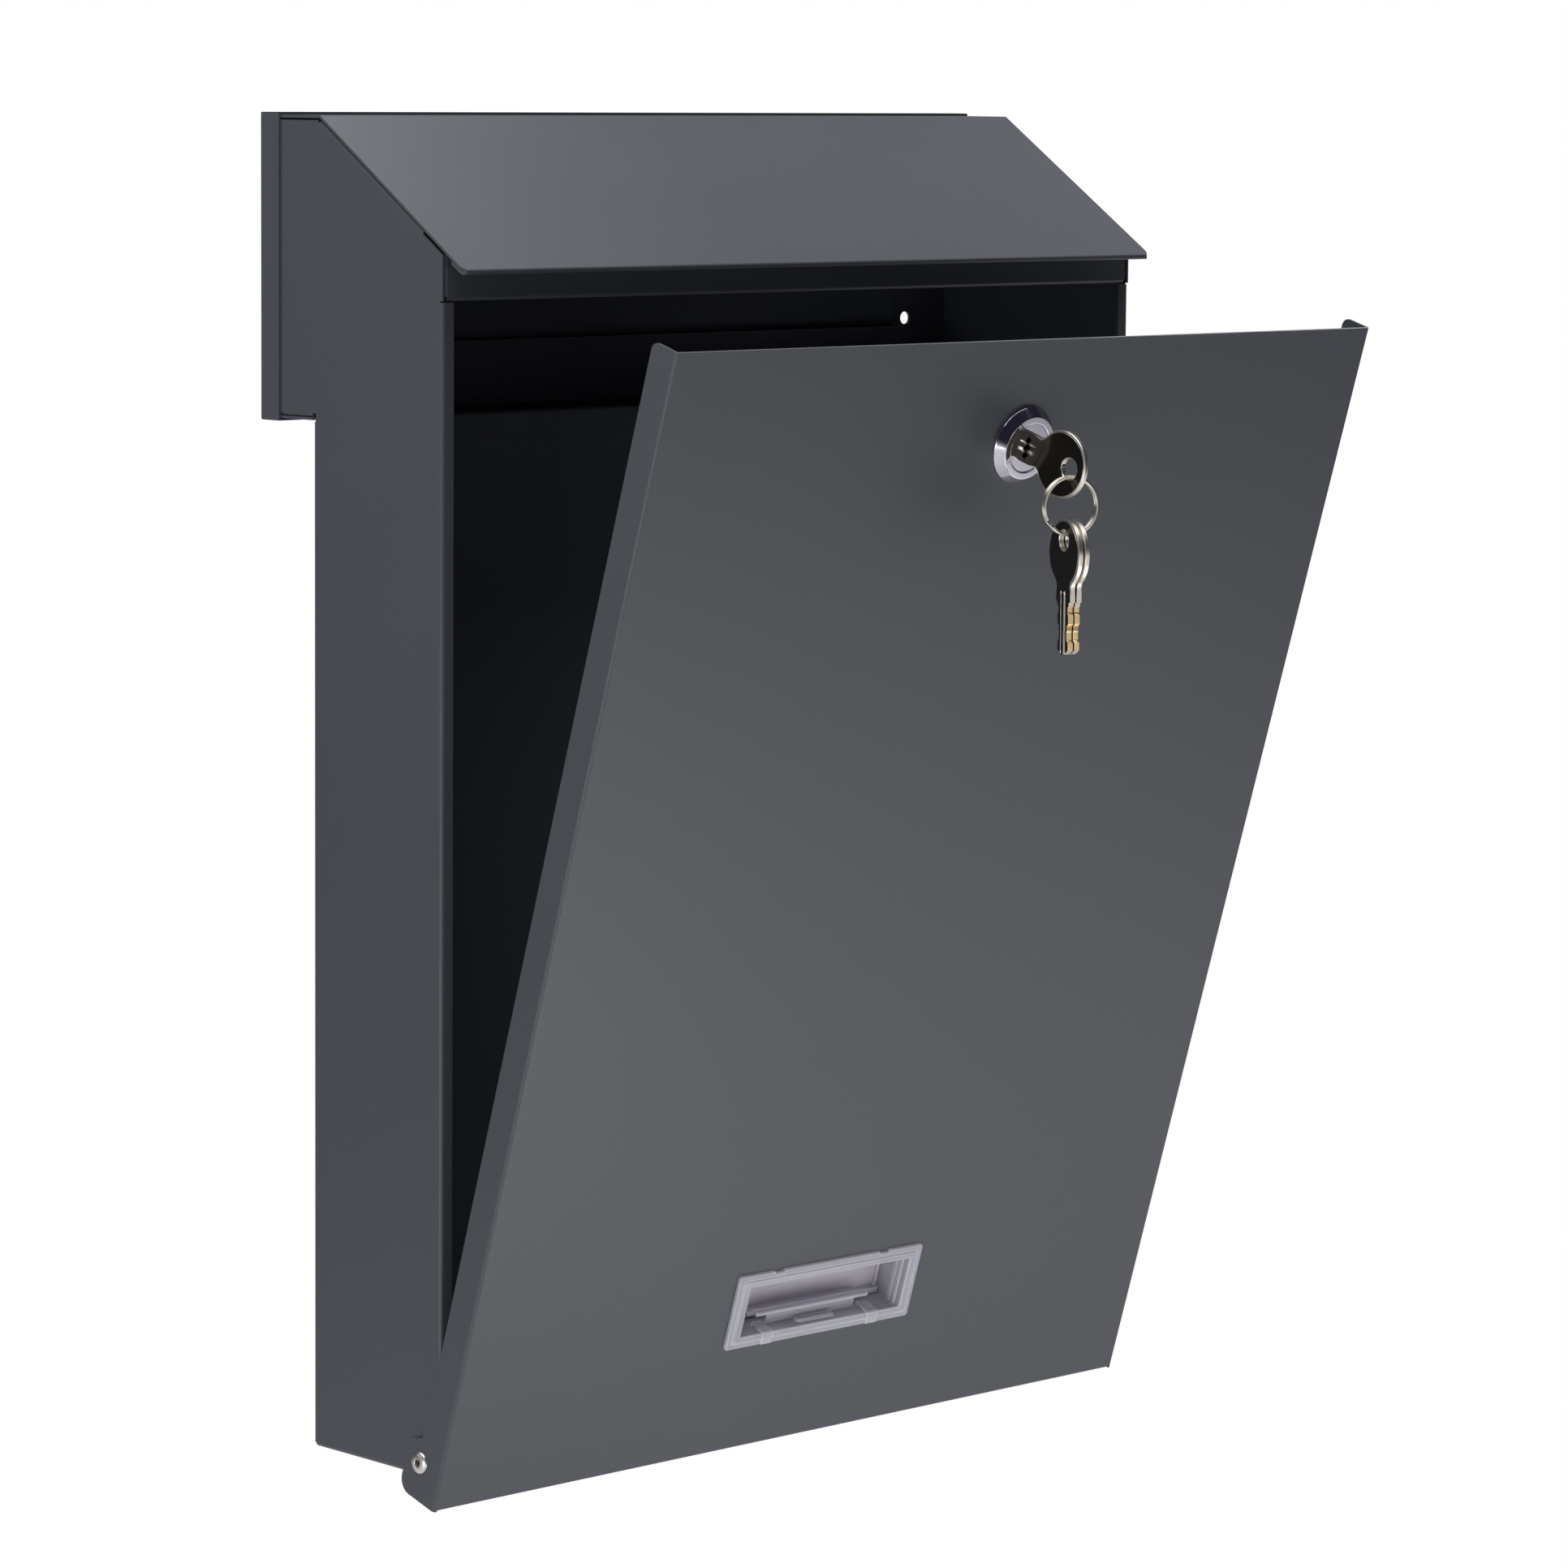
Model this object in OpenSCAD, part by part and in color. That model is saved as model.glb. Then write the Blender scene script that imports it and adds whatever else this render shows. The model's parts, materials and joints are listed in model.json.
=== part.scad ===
// Sheet-steel letterbox with an inlet throat through the back, a bottom-hinged door on two
// blind rivets, a cam lock with its keys and a clear name plate.
// Millimetres. X runs across, Y into the wall, Z up. The origin is the centre of the four
// mounting holes, on the rear face. Inside the modules the front plane of the body is Y = 0
// and the underside of the body is Z = 0; placed() moves that to the origin above.

/* [Body] */
// Outside width of the body
body_w = 288; // [270:1:340]
// Height from the underside to the top of the roof
body_h = 400; // [300:1:500]
// Depth of the lower body
body_d = 59.5; // [50:0.5:90]
// How far the inlet throat stands out behind the lower body
throat_d = 24.5; // [20:0.5:40]
// Height of the inlet throat, from the underside of its floor to the top of the roof
inlet_h = 90; // [86:1:120]
// Thickness of the steel sheet
sheet = 0.8; // [0.7:0.05:1]
// Inside radius of a folded edge
bend_in = 0.4; // [0.3:0.1:0.6]
// Width of the return flange down each front edge
front_flange = 4.4; // [4:0.2:8]
// Width of the welding flanges round the side panels
weld_flange = 9; // [6:0.5:12]
// Height of the upright flanges of the bottom panel
floor_flange = 12; // [10:0.5:20]
// Height of the front flange of the throat floor
throat_flange = 11.2; // [8:0.2:20]

/* [Roof] */
// How far the underside of the roof falls from the ridge to the front plane
roof_drop = 37.4; // [30:0.2:40]
// Distance of the ridge behind the front plane
ridge_d = 56.4; // [45:0.2:60]
// How far the roof stands out in front of the body
eaves_d = 9.8; // [6:0.2:10]
// Depth of the hem folded under the eaves
hem_d = 6; // [4:0.5:10]
// Corner radius of the eaves
eaves_r = 3; // [1:0.5:5]
// Height of the lintel's face
lintel_face = 14.6; // [12:0.2:18]
// Depth of the lintel's lower return
lintel_return = 12; // [8:0.5:13]
// Depth of the lintel's end and top flanges
lintel_flange = 8; // [6:0.5:10]

/* [Inlet] */
// Depth of the flanges of the inlet frame
inlet_flange = 9.2; // [6:0.2:15]
// Distance of the ends of the inlet slot from the sides of the body
slot_in = 29; // [26:0.5:50]
// Height of the inlet slot
slot_h = 32; // [25:1:33]
// Height of the slot's lower edge above the underside of the throat floor
slot_up = 24.5; // [22:0.5:26]
// How far the flap covers the plate below the slot
flap_overlap = 4; // [2:0.5:8]
// How far the flap covers the plate at each end of the slot
flap_side = 3.5; // [2:0.5:4]
// Depth of the foot of each angle that holds the flap's rod
bracket_foot = 8; // [5:0.5:12]
// Thickness of the flap
flap_t = 0.6; // [0.5:0.1:0.8]
// Depth of the lip along the foot of the flap
flap_lip = 4; // [3:0.5:8]
// Diameter of the flap's hinge rod
rod_d = 3; // [2.5:0.5:4]
// Height of the hinge rod above the slot
rod_up = 5; // [4.5:0.5:6]

/* [Mounting] */
// Distance of the mounting holes beyond the ends of the inlet slot
hole_out = 10; // [8:0.5:14]
// Distance between the mounting holes up the body
hole_gap_z = 44; // [40:1:50]
// Height of the lower mounting holes above the underside of the throat floor
hole_up = 23.4; // [15:0.2:30]
// Diameter of the mounting holes
hole_d = 4.2; // [3:0.1:6]

/* [Door] */
// Angle of the door, open from the body, at rest
open_angle = 16.7; // [0:0.1:45]
// Height of the hinge above the underside of the body
hinge_up = 4.3; // [4.2:0.1:5]
// Distance of the hinge behind the front plane
hinge_in = 8; // [7.6:0.1:8.2]
// Distance from the hinge to the door's outer face
door_face = 10; // [9.9:0.1:12]
// How far the door stands up in front of the lintel
door_overlap = 6.9; // [3:0.1:7]
// Depth of the door below its hinge
door_down = 11.6; // [10:0.2:14]
// Gap between a side panel and the door's side flange
door_gap = 0.3; // [0.2:0.05:0.6]
// Depth of the door's side flanges
door_flange = 10.6; // [9:0.2:14]
// Depth of the door's hinge ears
ear_d = 16.6; // [15:0.2:20]
// Height of the ears above the hinge
ear_up = 6.6; // [6:0.2:10]
// Corner radius of the ears
ear_r = 4.5; // [2:0.5:6]
// Depth of the door's bottom flange
bottom_flange = 8; // [5:0.5:9]
// Diameter of the hinge rivet's shank
rivet_d = 3.2; // [2.8:0.1:3.6]
// Diameter of the hinge rivet's head
rivet_head_d = 6.8; // [6:0.1:7.4]
// Height of the hinge rivet's head
rivet_head_h = 1.2; // [0.8:0.1:1.6]
// Diameter of the hole left by the rivet's mandrel
mandrel_d = 2.2; // [1.6:0.1:2.4]

/* [Lock] */
// Distance of the lock below the top of the door
lock_down = 32.3; // [28:0.1:34]
// Diameter of the lock's head
lock_head_d = 23.6; // [21:0.2:26]
// Diameter of the flat front of the lock's head
lock_front_d = 19.4; // [17:0.2:20]
// Height of the lock's head
lock_head_h = 4; // [3:0.2:5]
// Diameter of the lock's threaded barrel
barrel_d = 18; // [17.6:0.1:19]
// Length of the barrel behind the door's outer face
barrel_l = 15.4; // [14:0.2:18]
// Distance across the flats of the barrel
barrel_flats = 16.4; // [16:0.1:17]
// Diameter of the plug's face
plug_d = 15.2; // [14.8:0.1:15.6]
// Diameter of the plug inside the barrel
stem_d = 12.8; // [12:0.1:13.4]
// Distance across the flats of the lock nut
nut_af = 24; // [22:0.5:26]
// Thickness of the lock nut
nut_t = 3.5; // [3:0.5:5]
// Length of the cam from the lock's axis
cam_l = 33; // [28:0.5:36]
// Width of the cam
cam_w = 14; // [12:0.5:16]
// Thickness of the cam
cam_t = 2; // [1.6:0.1:2.5]
// Side of the square that drives the cam
cam_square = 7.6; // [7:0.1:8]
// Diameter of the cam's screw
cam_screw_d = 5; // [4:0.1:5]

/* [Keys] */
// Thickness of a key
key_t = 1.8; // [1.6:0.1:2]
// Diameter of the bow
bow_d = 20; // [18:0.5:22]
// Length of the blade
blade_l = 16.4; // [14:0.2:16.6]
// Width of the blade
blade_w = 7.6; // [6.6:0.2:8]
// Length of the neck between the blade and the bow
neck_l = 4.2; // [3:0.2:6]
// Width of the neck
neck_w = 9.4; // [8.6:0.2:10]
// Width of the hole in the bow
bow_hole = 5.8; // [5.4:0.1:6.2]
// How much longer the hole is across the key than along it
bow_hole_long = 1.4; // [1:0.1:2]
// Distance from the hole's edge to the end of the bow
bow_rim = 3.3; // [3:0.1:4]
// Outside diameter of the key ring
ring_d = 18; // [17:0.5:22]
// Diameter of the ring's wire
ring_wire = 1.1; // [1:0.1:1.2]
// Direction in which the ring faces, from straight ahead
ring_turn = 20; // [0:1:24]

/* [Name plate] */
// Width of the name plate
plate_w = 78; // [70:1:90]
// Height of the name plate
plate_h = 25; // [24:0.5:30]
// Height of the name plate's centre above the hinge
plate_up = 37.4; // [36:0.2:60]
// How far the rim stands out of the door
rim_t = 1.5; // [1.2:0.1:2]
// Width of the rim at the ends
rim_w = 5; // [4:0.2:6]
// Width of the rim along the top and the bottom
rim_h = 4.1; // [3.4:0.1:5]
// Width of the outer band of the rim
band_w = 2; // [1.4:0.1:2.4]
// Depth of the name plate's walls behind the door's outer face
plate_depth = 11; // [9:0.2:14]
// Wall of the clear plastic
plate_wall = 1; // [0.8:0.1:1.2]
// Width of the spring fingers that hold the cover, and of the notches in the rim
finger_w = 4.4; // [3:0.2:6]
// Distance of the fingers from the middle
finger_x = 22.4; // [15:0.2:26]
// How high the fingers rise above the floor of the frame
finger_up = 3.2; // [2:0.1:4]
// Height of the cover's step
step_h = 5.6; // [5.2:0.1:7]
// Depth of the cover's step
step_d = 2.4; // [2.2:0.1:3]
// Diameter of the bead along the top of the cover's step
bead_d = 2.4; // [1.6:0.1:2.6]
// Length of the grip on the floor of the frame
grip_l = 15.6; // [10:0.2:20]

/* [Hidden] */
$fn = 36;

coat = "#565b5f";
coat_roof = "#666b6f";
coat_inside = "#3c3f42";
zinc = "#a9abad";
chrome = "#d4d6da";
clear = [0.82, 0.84, 0.88, 0.5];

bend_out = bend_in + sheet;
// Paint between sheets that lie on each other
film = 0.03;
total_d = body_d + throat_d;
inner_x = body_w / 2 - sheet;
plate_y = total_d - sheet;
throat_back = plate_y - film;
back_y = body_d - 2 * sheet - film;
roof_under = body_h - sheet;
roof_slope = atan(roof_drop / ridge_d);
side_front_h = roof_under - roof_drop;
lintel_h = side_front_h - lintel_face;
throat_h = body_h - inlet_h;
throat_side_h = throat_h + sheet + film;
slot_w = body_w - 2 * slot_in;
slot_bottom = throat_h + slot_up;
hole_gap_x = slot_w + 2 * hole_out;
hole_low = throat_h + hole_up;
mount_h = hole_low + hole_gap_z / 2;
door_up = lintel_h + door_overlap - hinge_up;
lock_up = door_up - lock_down;
// Gap left beside the end of a fold
relief = 0.4;
// Play of a part that turns or slides in another
play = 0.05;
// Gap kept between moving parts that are not in touch
air = 0.3;
// Very small overlap that makes one solid of the pieces of a part
knit = 0.05;

// ---- placing ----------------------------------------------------------------------------

module placed() {
    translate([0, -total_d, -mount_h]) children();
}

// Door parts are drawn with X across, Y behind the door's outer face and Z up from the hinge
// line, with the door shut.
module on_door() {
    placed() translate([0, hinge_in, hinge_up]) rotate([open_angle, 0, 0])
        translate([0, -door_face, 0]) children();
}

// Lock parts are drawn along +Z, which points out of the door, with +Y up the door.
module on_lock() {
    on_door() translate([0, 0, lock_up]) rotate([90, 0, 0]) children();
}

// A drawing in the X-Y plane stands up: its X runs along Y, its Y up Z and its height along X.
module stand_in_yz() {
    rotate([90, 0, 90]) children();
}

// A flat panel stands up facing the front, with its flanges running back.
module facing_front() {
    rotate([90, 0, 180]) children();
}

// A flat panel stands up facing the back, with its flanges running forward.
module facing_back() {
    rotate([90, 0, 0]) children();
}

module both_sides() {
    children();
    mirror([1, 0, 0]) children();
}

// ---- sheet metal ------------------------------------------------------------------------

function unit(v) = v / norm(v);
function left_of(v) = [-v[1], v[0]];
function cross2(a, b) = a[0] * b[1] - a[1] * b[0];
function turned(v, a) = [v[0] * cos(a) - v[1] * sin(a), v[0] * sin(a) + v[1] * cos(a)];
function reversed(list) = [for (i = [len(list) - 1:-1:0]) list[i]];
function turn_at(a, b) = atan2(cross2(a, b), a * b);

// Points and left normals round one corner, on an arc of radius r.
function arc_corner(before, here, after, r, steps) =
    let (
        a = unit(here - before),
        b = unit(after - here),
        turn = turn_at(a, b),
        start = here - a * r * tan(abs(turn) / 2),
        centre = start + left_of(a) * r * sign(turn)
    )
    [for (k = [0:steps]) let (n = turned(left_of(a), turn * k / steps)) [centre - n * r * sign(turn), n]];

// Radius of the drawn face at a bend: the outside radius where the sheet turns towards its
// own thickness, the inside radius where it turns away.
function face_radius(before, here, after, side, r_in, t) =
    sign(turn_at(here - before, after - here)) == side ? r_in + t : r_in;

// A face drawn as a line with square corners becomes points and normals with bent corners.
// r_in holds the inside radius of each bend.
function bent_face(p, side, r_in, t, steps = 6) = [
    [p[0], left_of(unit(p[1] - p[0]))],
    for (i = [1:len(p) - 2])
        each arc_corner(p[i - 1], p[i], p[i + 1],
            face_radius(p[i - 1], p[i], p[i + 1], side, r_in[i - 1], t), steps),
    [p[len(p) - 1], left_of(unit(p[len(p) - 1] - p[len(p) - 2]))]];

// Section of a folded sheet: the drawn face, and its other face at the sheet's thickness.
// side is 1 when the sheet lies to the left of the line and -1 when it lies to the right.
module sheet_section(p, side, r_in = [bend_in, bend_in, bend_in, bend_in], t = sheet) {
    face = bent_face(p, side, r_in, t);
    polygon(concat([for (q = face) q[0]], reversed([for (q = face) q[0] + q[1] * side * t])));
}

// Outline p with corner i rounded to radius r[i].
function rounded(p, r, steps = 8) = [
    for (i = [0:len(p) - 1])
        each r[i] > 0
            ? [for (q = arc_corner(p[(i + len(p) - 1) % len(p)], p[i], p[(i + 1) % len(p)], r[i], steps)) q[0]]
            : [p[i]]];

// Corner i of outline p once each edge has moved inwards by its own distance in d.
function inset_corner(p, d, i) =
    let (
        n = len(p),
        h = (i + n - 1) % n,
        a = unit(p[i] - p[h]),
        b = unit(p[(i + 1) % n] - p[i]),
        pa = p[i] + left_of(a) * d[h],
        pb = p[i] + left_of(b) * d[i]
    )
    pa + a * cross2(pb - pa, b) / cross2(a, b);

function inset_outline(p, d) = [for (i = [0:len(p) - 1]) inset_corner(p, d, i)];

// Length that a bend through angle turn takes from the flat on each side of its corner.
function bend_run(turn = 90) = bend_out * tan(turn / 2);

module along_edge(a, b, from = 0) {
    translate(a) rotate([0, 0, atan2(b[1] - a[1], b[0] - a[0])]) translate([from, 0, 0]) children();
}

module flange_section(depth, turn = 90) {
    sheet_section([[bend_run(turn) + knit, 0], [0, 0], turned([-depth, 0], -turn)], -1);
}

// A flange folded up along the edge from a to b of a flat panel, whose inside lies to the
// left. It stops short of both ends by its own reliefs.
module edge_flange(a, b, depth, from = bend_out, to = bend_out, turn = 90) {
    along_edge(a, b, from) stand_in_yz() linear_extrude(norm(b - a) - from - to)
        flange_section(depth, turn);
}

// A flange whose ends are cut at 45 degrees to meet its neighbours with a fine seam.
module mitred_flange(a, b, depth, seam = 0.1) {
    run = norm(b - a);
    along_edge(a, b) intersection() {
        stand_in_yz() linear_extrude(run) flange_section(depth);
        linear_extrude(2 * depth) polygon([[seam, 0], [run - seam, 0], [run - seam - depth, depth],
            [seam + depth, depth]]);
    }
}

// ---- body -------------------------------------------------------------------------------

under_slope = side_front_h - film / cos(roof_slope);
side_outline = [[0, 0], [body_d, 0], [body_d, throat_side_h], [throat_back, throat_side_h],
    [throat_back, roof_under - film], [ridge_d, roof_under - film], [0, under_slope]];
pivot_hole_d = rivet_d + 2 * play;

// Flat side panel with flanges on all its edges but the rear of the throat. The front edge is
// folded only below the lintel; above it the cut edge closes the end of the lintel.
module side_flat() {
    p = side_outline;
    e = bend_out;
    ridge_gap = bend_run(roof_slope) + relief;
    difference() {
        union() {
            linear_extrude(sheet) difference() {
                polygon(inset_outline(p, [e, e, e, 0, e, e, 0]));
                translate([-1, -1]) square([1 + e, 1 + lintel_h]);
            }
            edge_flange(p[0], p[1], weld_flange, e, e);
            edge_flange(p[1], p[2], weld_flange, e, sheet + film + relief);
            edge_flange(p[2], p[3], weld_flange, relief, 0);
            edge_flange(p[4], p[5], weld_flange, 0, ridge_gap);
            edge_flange(p[5], p[6], weld_flange, ridge_gap, (lintel_flange + relief) / cos(roof_slope));
            edge_flange([0, lintel_h - relief], p[0], front_flange, 0, e);
        }
        translate([hinge_in, hinge_up, -1]) cylinder(d = pivot_hole_d, h = sheet + 2);
    }
}

module side_in_box() {
    translate([-body_w / 2, 0, 0]) stand_in_yz() side_flat();
}

module left_side_panel() {
    color(coat) placed() side_in_box();
}

module right_side_panel() {
    color(coat) placed() mirror([1, 0, 0]) side_in_box();
}

// Flat lower back, welded to the rear flanges of the sides.
module back_panel() {
    x = inner_x - film;
    color(coat_inside) placed() translate([-x, back_y, 2 * sheet])
        cube([2 * x, sheet, throat_h - film - 2 * sheet]);
}

// Tray whose floor rests on the bottom flanges of the sides, with four upright flanges.
module bottom_panel() {
    x = inner_x - film;
    front_y = sheet + film;
    d = back_y - film - front_y;
    outline = [[-x, 0], [x, 0], [x, d], [-x, d]];
    color(coat_inside) placed() difference() {
        translate([0, front_y, sheet + film]) union() {
            linear_extrude(sheet) polygon(inset_outline(outline, [for (i = [0:3]) bend_out]));
            for (i = [0:3]) edge_flange(outline[i], outline[(i + 1) % 4], floor_flange);
        }
        translate([-body_w, hinge_in, hinge_up]) rotate([0, 90, 0])
            cylinder(d = pivot_hole_d, h = 2 * body_w);
    }
}

// Ledge of the throat: its floor, and a flange that hangs in front of the lower back.
module throat_floor() {
    top_z = throat_h + sheet;
    front_y = back_y - film - sheet;
    face = [[throat_back, top_z], [front_y, top_z], [front_y, top_z - throat_flange]];
    color(coat_inside) placed() difference() {
        translate([-body_w / 2, 0, 0]) stand_in_yz() linear_extrude(body_w) sheet_section(face, 1);
        both_sides() translate([inner_x - film, 0, throat_h - body_h / 2])
            cube([body_w, body_d + relief, body_h]);
    }
}

// One folded sheet: flat top, sloping front and a hem turned under at the eaves.
hem_gap = 0.15;
roof_ridge = [ridge_d - sheet * tan(roof_slope / 2), body_h];
roof_down = [-cos(roof_slope), -sin(roof_slope)];
roof_tip = roof_ridge + roof_down * (roof_ridge[0] + eaves_d) / cos(roof_slope);
hem_tip = roof_tip + left_of(roof_down) * (2 * sheet + hem_gap);

module roof_panel() {
    face = [[throat_back, body_h], roof_ridge, roof_tip, hem_tip, hem_tip - roof_down * hem_d];
    x = body_w / 2;
    plan = [[-x, -eaves_d], [x, -eaves_d], [x, plate_y], [-x, plate_y]];
    color(coat_roof) placed() intersection() {
        translate([-x, 0, 0]) stand_in_yz() linear_extrude(body_w)
            sheet_section(face, 1, [bend_in, hem_gap / 2, hem_gap / 2]);
        linear_extrude(2 * body_h) polygon(rounded(plan, [eaves_r, eaves_r, 0, 0]));
    }
}

// Strip that closes the front between the door opening and the roof.
module lintel() {
    e = bend_out;
    lean = 90 - roof_slope;
    x = inner_x - film;
    p = [[-x, lintel_h], [x, lintel_h], [x, under_slope], [-x, under_slope]];
    color(coat) placed() facing_front() union() {
        linear_extrude(sheet) polygon(inset_outline(p, [e, e, bend_run(lean), e]));
        edge_flange(p[0], p[1], lintel_return);
        edge_flange(p[1], p[2], lintel_flange);
        edge_flange(p[2], p[3], lintel_flange, e + relief, e + relief, lean);
        edge_flange(p[3], p[0], lintel_flange);
    }
}

// ---- inlet ------------------------------------------------------------------------------

frame_x = body_w / 2 + film + sheet;
slot_top = slot_bottom + slot_h;
rod_z = slot_top + rod_up;
knuckle_r = rod_d / 2 + play + flap_t;
rod_y = plate_y - air - knuckle_r;
flap_half = slot_w / 2 + flap_side;
bracket_x = flap_half + air + sheet;

// Pan that closes the throat: a plate with the slot and the mounting holes, and flanges
// folded forward over the roof, the sides and the throat floor.
module inlet_frame() {
    e = bend_out;
    low_z = throat_h - film - sheet;
    top_z = body_h + film + sheet;
    p = [[-frame_x, low_z], [frame_x, low_z], [frame_x, top_z], [-frame_x, top_z]];
    s = [[-slot_w / 2, slot_bottom], [slot_w / 2, slot_bottom], [slot_w / 2, slot_top],
        [-slot_w / 2, slot_top]];
    color(coat) placed() translate([0, total_d, 0]) facing_back() difference() {
        union() {
            linear_extrude(sheet) polygon(inset_outline(p, [e, e, e, e]));
            for (i = [0:3]) mitred_flange(p[i], p[(i + 1) % 4], inlet_flange);
        }
        translate([0, 0, -1]) linear_extrude(sheet + 2) polygon(rounded(s, [2, 2, 2, 2]));
        for (x = [-0.5, 0.5], z = [0, 1])
            translate([x * hole_gap_x, hole_low + z * hole_gap_z, -1]) cylinder(d = hole_d, h = sheet + 2);
    }
}

// Gravity flap: a sheet rolled round the rod at the top, with a lip along its foot.
module inlet_flap() {
    back_y = rod_y + knuckle_r;
    foot_z = slot_bottom - flap_overlap;
    face = [[back_y, rod_z], [back_y, foot_z], [back_y - flap_lip, foot_z]];
    color(coat) placed() translate([-flap_half, 0, 0]) difference() {
        union() {
            stand_in_yz() linear_extrude(2 * flap_half) sheet_section(face, -1, [bend_in], flap_t);
            translate([0, rod_y, rod_z]) rotate([0, 90, 0]) cylinder(r = knuckle_r, h = 2 * flap_half);
        }
        translate([-1, rod_y, rod_z]) rotate([0, 90, 0])
            cylinder(r = rod_d / 2 + play, h = 2 * flap_half + 2);
        // opening between the end of the roll and the sheet
        translate([-1, rod_y - knuckle_r / 2, rod_z - 2 * knuckle_r])
            cube([2 * flap_half + 2, knuckle_r / 2 + rod_d / 2 + play, 2 * knuckle_r]);
    }
}

// Hinge rod with a turned-over head at each end.
module flap_rod() {
    head = 0.6;
    half = bracket_x + film;
    color(zinc) placed() translate([-half, rod_y, rod_z]) rotate([0, 90, 0]) union() {
        cylinder(d = rod_d, h = 2 * half);
        translate([0, 0, -head]) cylinder(d = rod_d + 1.2, h = head);
        translate([0, 0, 2 * half]) cylinder(d = rod_d + 1.2, h = head);
    }
}

// Two angles on the inside of the plate that hold the rod.
module flap_brackets() {
    front_y = rod_y - knuckle_r - 0.5;
    low_z = rod_z - knuckle_r - 0.8;
    foot_z = rod_z + knuckle_r + 1.2;
    angle = [[bracket_x, front_y], [bracket_x, throat_back], [bracket_x - bracket_foot, throat_back]];
    ear = [[front_y, foot_z + knit], [front_y, low_z], [throat_back - bend_out, low_z],
        [throat_back - bend_out, foot_z + knit]];
    color(zinc) placed() both_sides() difference() {
        union() {
            translate([0, 0, foot_z]) linear_extrude(bracket_foot) sheet_section(angle, 1);
            translate([bracket_x - sheet, 0, 0]) stand_in_yz() linear_extrude(sheet)
                polygon(rounded(ear, [0, 2, 0, 0]));
        }
        translate([bracket_x - 2 * sheet, rod_y, rod_z]) rotate([0, 90, 0])
            cylinder(d = rod_d + 2 * play, h = 3 * sheet);
    }
}

// ---- door -------------------------------------------------------------------------------

door_x = body_w / 2 + door_gap + sheet;
window_w = plate_w - 2 * rim_w + 2 * plate_wall + 0.4;
window_h = plate_h - 2 * rim_h + 2 * plate_wall + 0.4;

// Face with folded sides and bottom; the sides run out at their feet into the hinge ears.
module door_panel() {
    e = bend_out;
    p = [[-door_x, -door_down], [door_x, -door_down], [door_x, door_up], [-door_x, door_up]];
    side = [[0, -door_down], [ear_d, -door_down], [ear_d, ear_up], [door_flange, ear_up],
        [door_flange, door_up], [0, door_up]];
    color(coat) on_door() difference() {
        intersection() {
            facing_front() union() {
                linear_extrude(sheet) polygon(inset_outline(p, [e, e, 0, e]));
                edge_flange(p[0], p[1], bottom_flange, e + relief, e + relief);
                edge_flange(p[1], p[2], ear_d, 0, 0);
                edge_flange(p[3], p[0], ear_d, 0, 0);
            }
            translate([-body_w, 0, 0]) stand_in_yz() linear_extrude(2 * body_w)
                polygon(rounded(side, [0, ear_r, ear_r, 3, 2.5, 0]));
        }
        translate([-body_w, door_face, 0]) rotate([0, 90, 0]) cylinder(d = pivot_hole_d, h = 2 * body_w);
        translate([0, 0, plate_up]) cube([window_w, 4, window_h], center = true);
        translate([0, 0, lock_up]) rotate([90, 0, 0]) intersection() {
            cylinder(d = barrel_d + 2 * play, h = 4, center = true);
            cube([barrel_flats + 2 * play, 2 * barrel_d, 4], center = true);
        }
    }
}

// Blind rivets, set through the ears, the side panels and the bottom panel's side flanges.
module rivet() {
    tail_x = inner_x - film - sheet;
    head_x = door_x + play;
    tail_r = hinge_up - 2 * sheet - bend_in - 0.1;
    rotate([0, 90, 0]) difference() {
        union() {
            translate([0, 0, tail_x - 3]) cylinder(d1 = rivet_d, d2 = 2 * tail_r, h = 1.5);
            translate([0, 0, tail_x - 1.5]) cylinder(r = tail_r, h = 1.5);
            translate([0, 0, tail_x - 3]) cylinder(d = rivet_d, h = head_x - tail_x + 3 + knit);
            translate([0, 0, head_x]) rotate_extrude() rivet_head();
        }
        translate([0, 0, tail_x - 1]) cylinder(d = mandrel_d, h = head_x - tail_x + 1 + 2 * rivet_head_h);
    }
}

module rivet_head() {
    polygon([[0, 0], [rivet_head_d / 2, 0], [rivet_head_d / 2, 0.3],
        for (a = [20:23.3:90]) [rivet_head_d / 2 * cos(a) + 0.1 * sin(a), 0.3 + (rivet_head_h - 0.3) * sin(a)],
        [0, rivet_head_h]]);
}

module hinge_rivets() {
    color(zinc) placed() translate([0, hinge_in, hinge_up]) both_sides() rivet();
}

// ---- lock -------------------------------------------------------------------------------

lock_disc = 2.4;
plug_front = lock_head_h - 0.3;
cam_front = -(barrel_l + 0.1);
screw_head = 3.4;
washer_t = 1;
washer_d = 12;
// Metal left between the end of the keyway and the hole for the cam's screw
plug_web = 0.6;

// Bevelled head, and a threaded barrel with two flats that stop it turning in the door.
module lock_housing() {
    color(chrome) on_lock() difference() {
        union() {
            cylinder(d = lock_head_d, h = 1);
            translate([0, 0, 1]) cylinder(d1 = lock_head_d, d2 = lock_front_d, h = lock_head_h - 1);
            intersection() {
                translate([0, 0, -barrel_l]) cylinder(d = barrel_d, h = barrel_l + 1);
                translate([0, 0, -barrel_l / 2])
                    cube([barrel_flats, 2 * barrel_d, barrel_l + 2], center = true);
            }
        }
        translate([0, 0, -barrel_l - 1]) cylinder(d = stem_d + 2 * play, h = barrel_l + lock_head_h);
        translate([0, 0, lock_head_h - lock_disc]) cylinder(d = plug_d + 2 * play, h = lock_disc + 1);
    }
}

keyway = blade_l + air;
screw_reach = plug_front - keyway - plug_web - cam_front;

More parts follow.
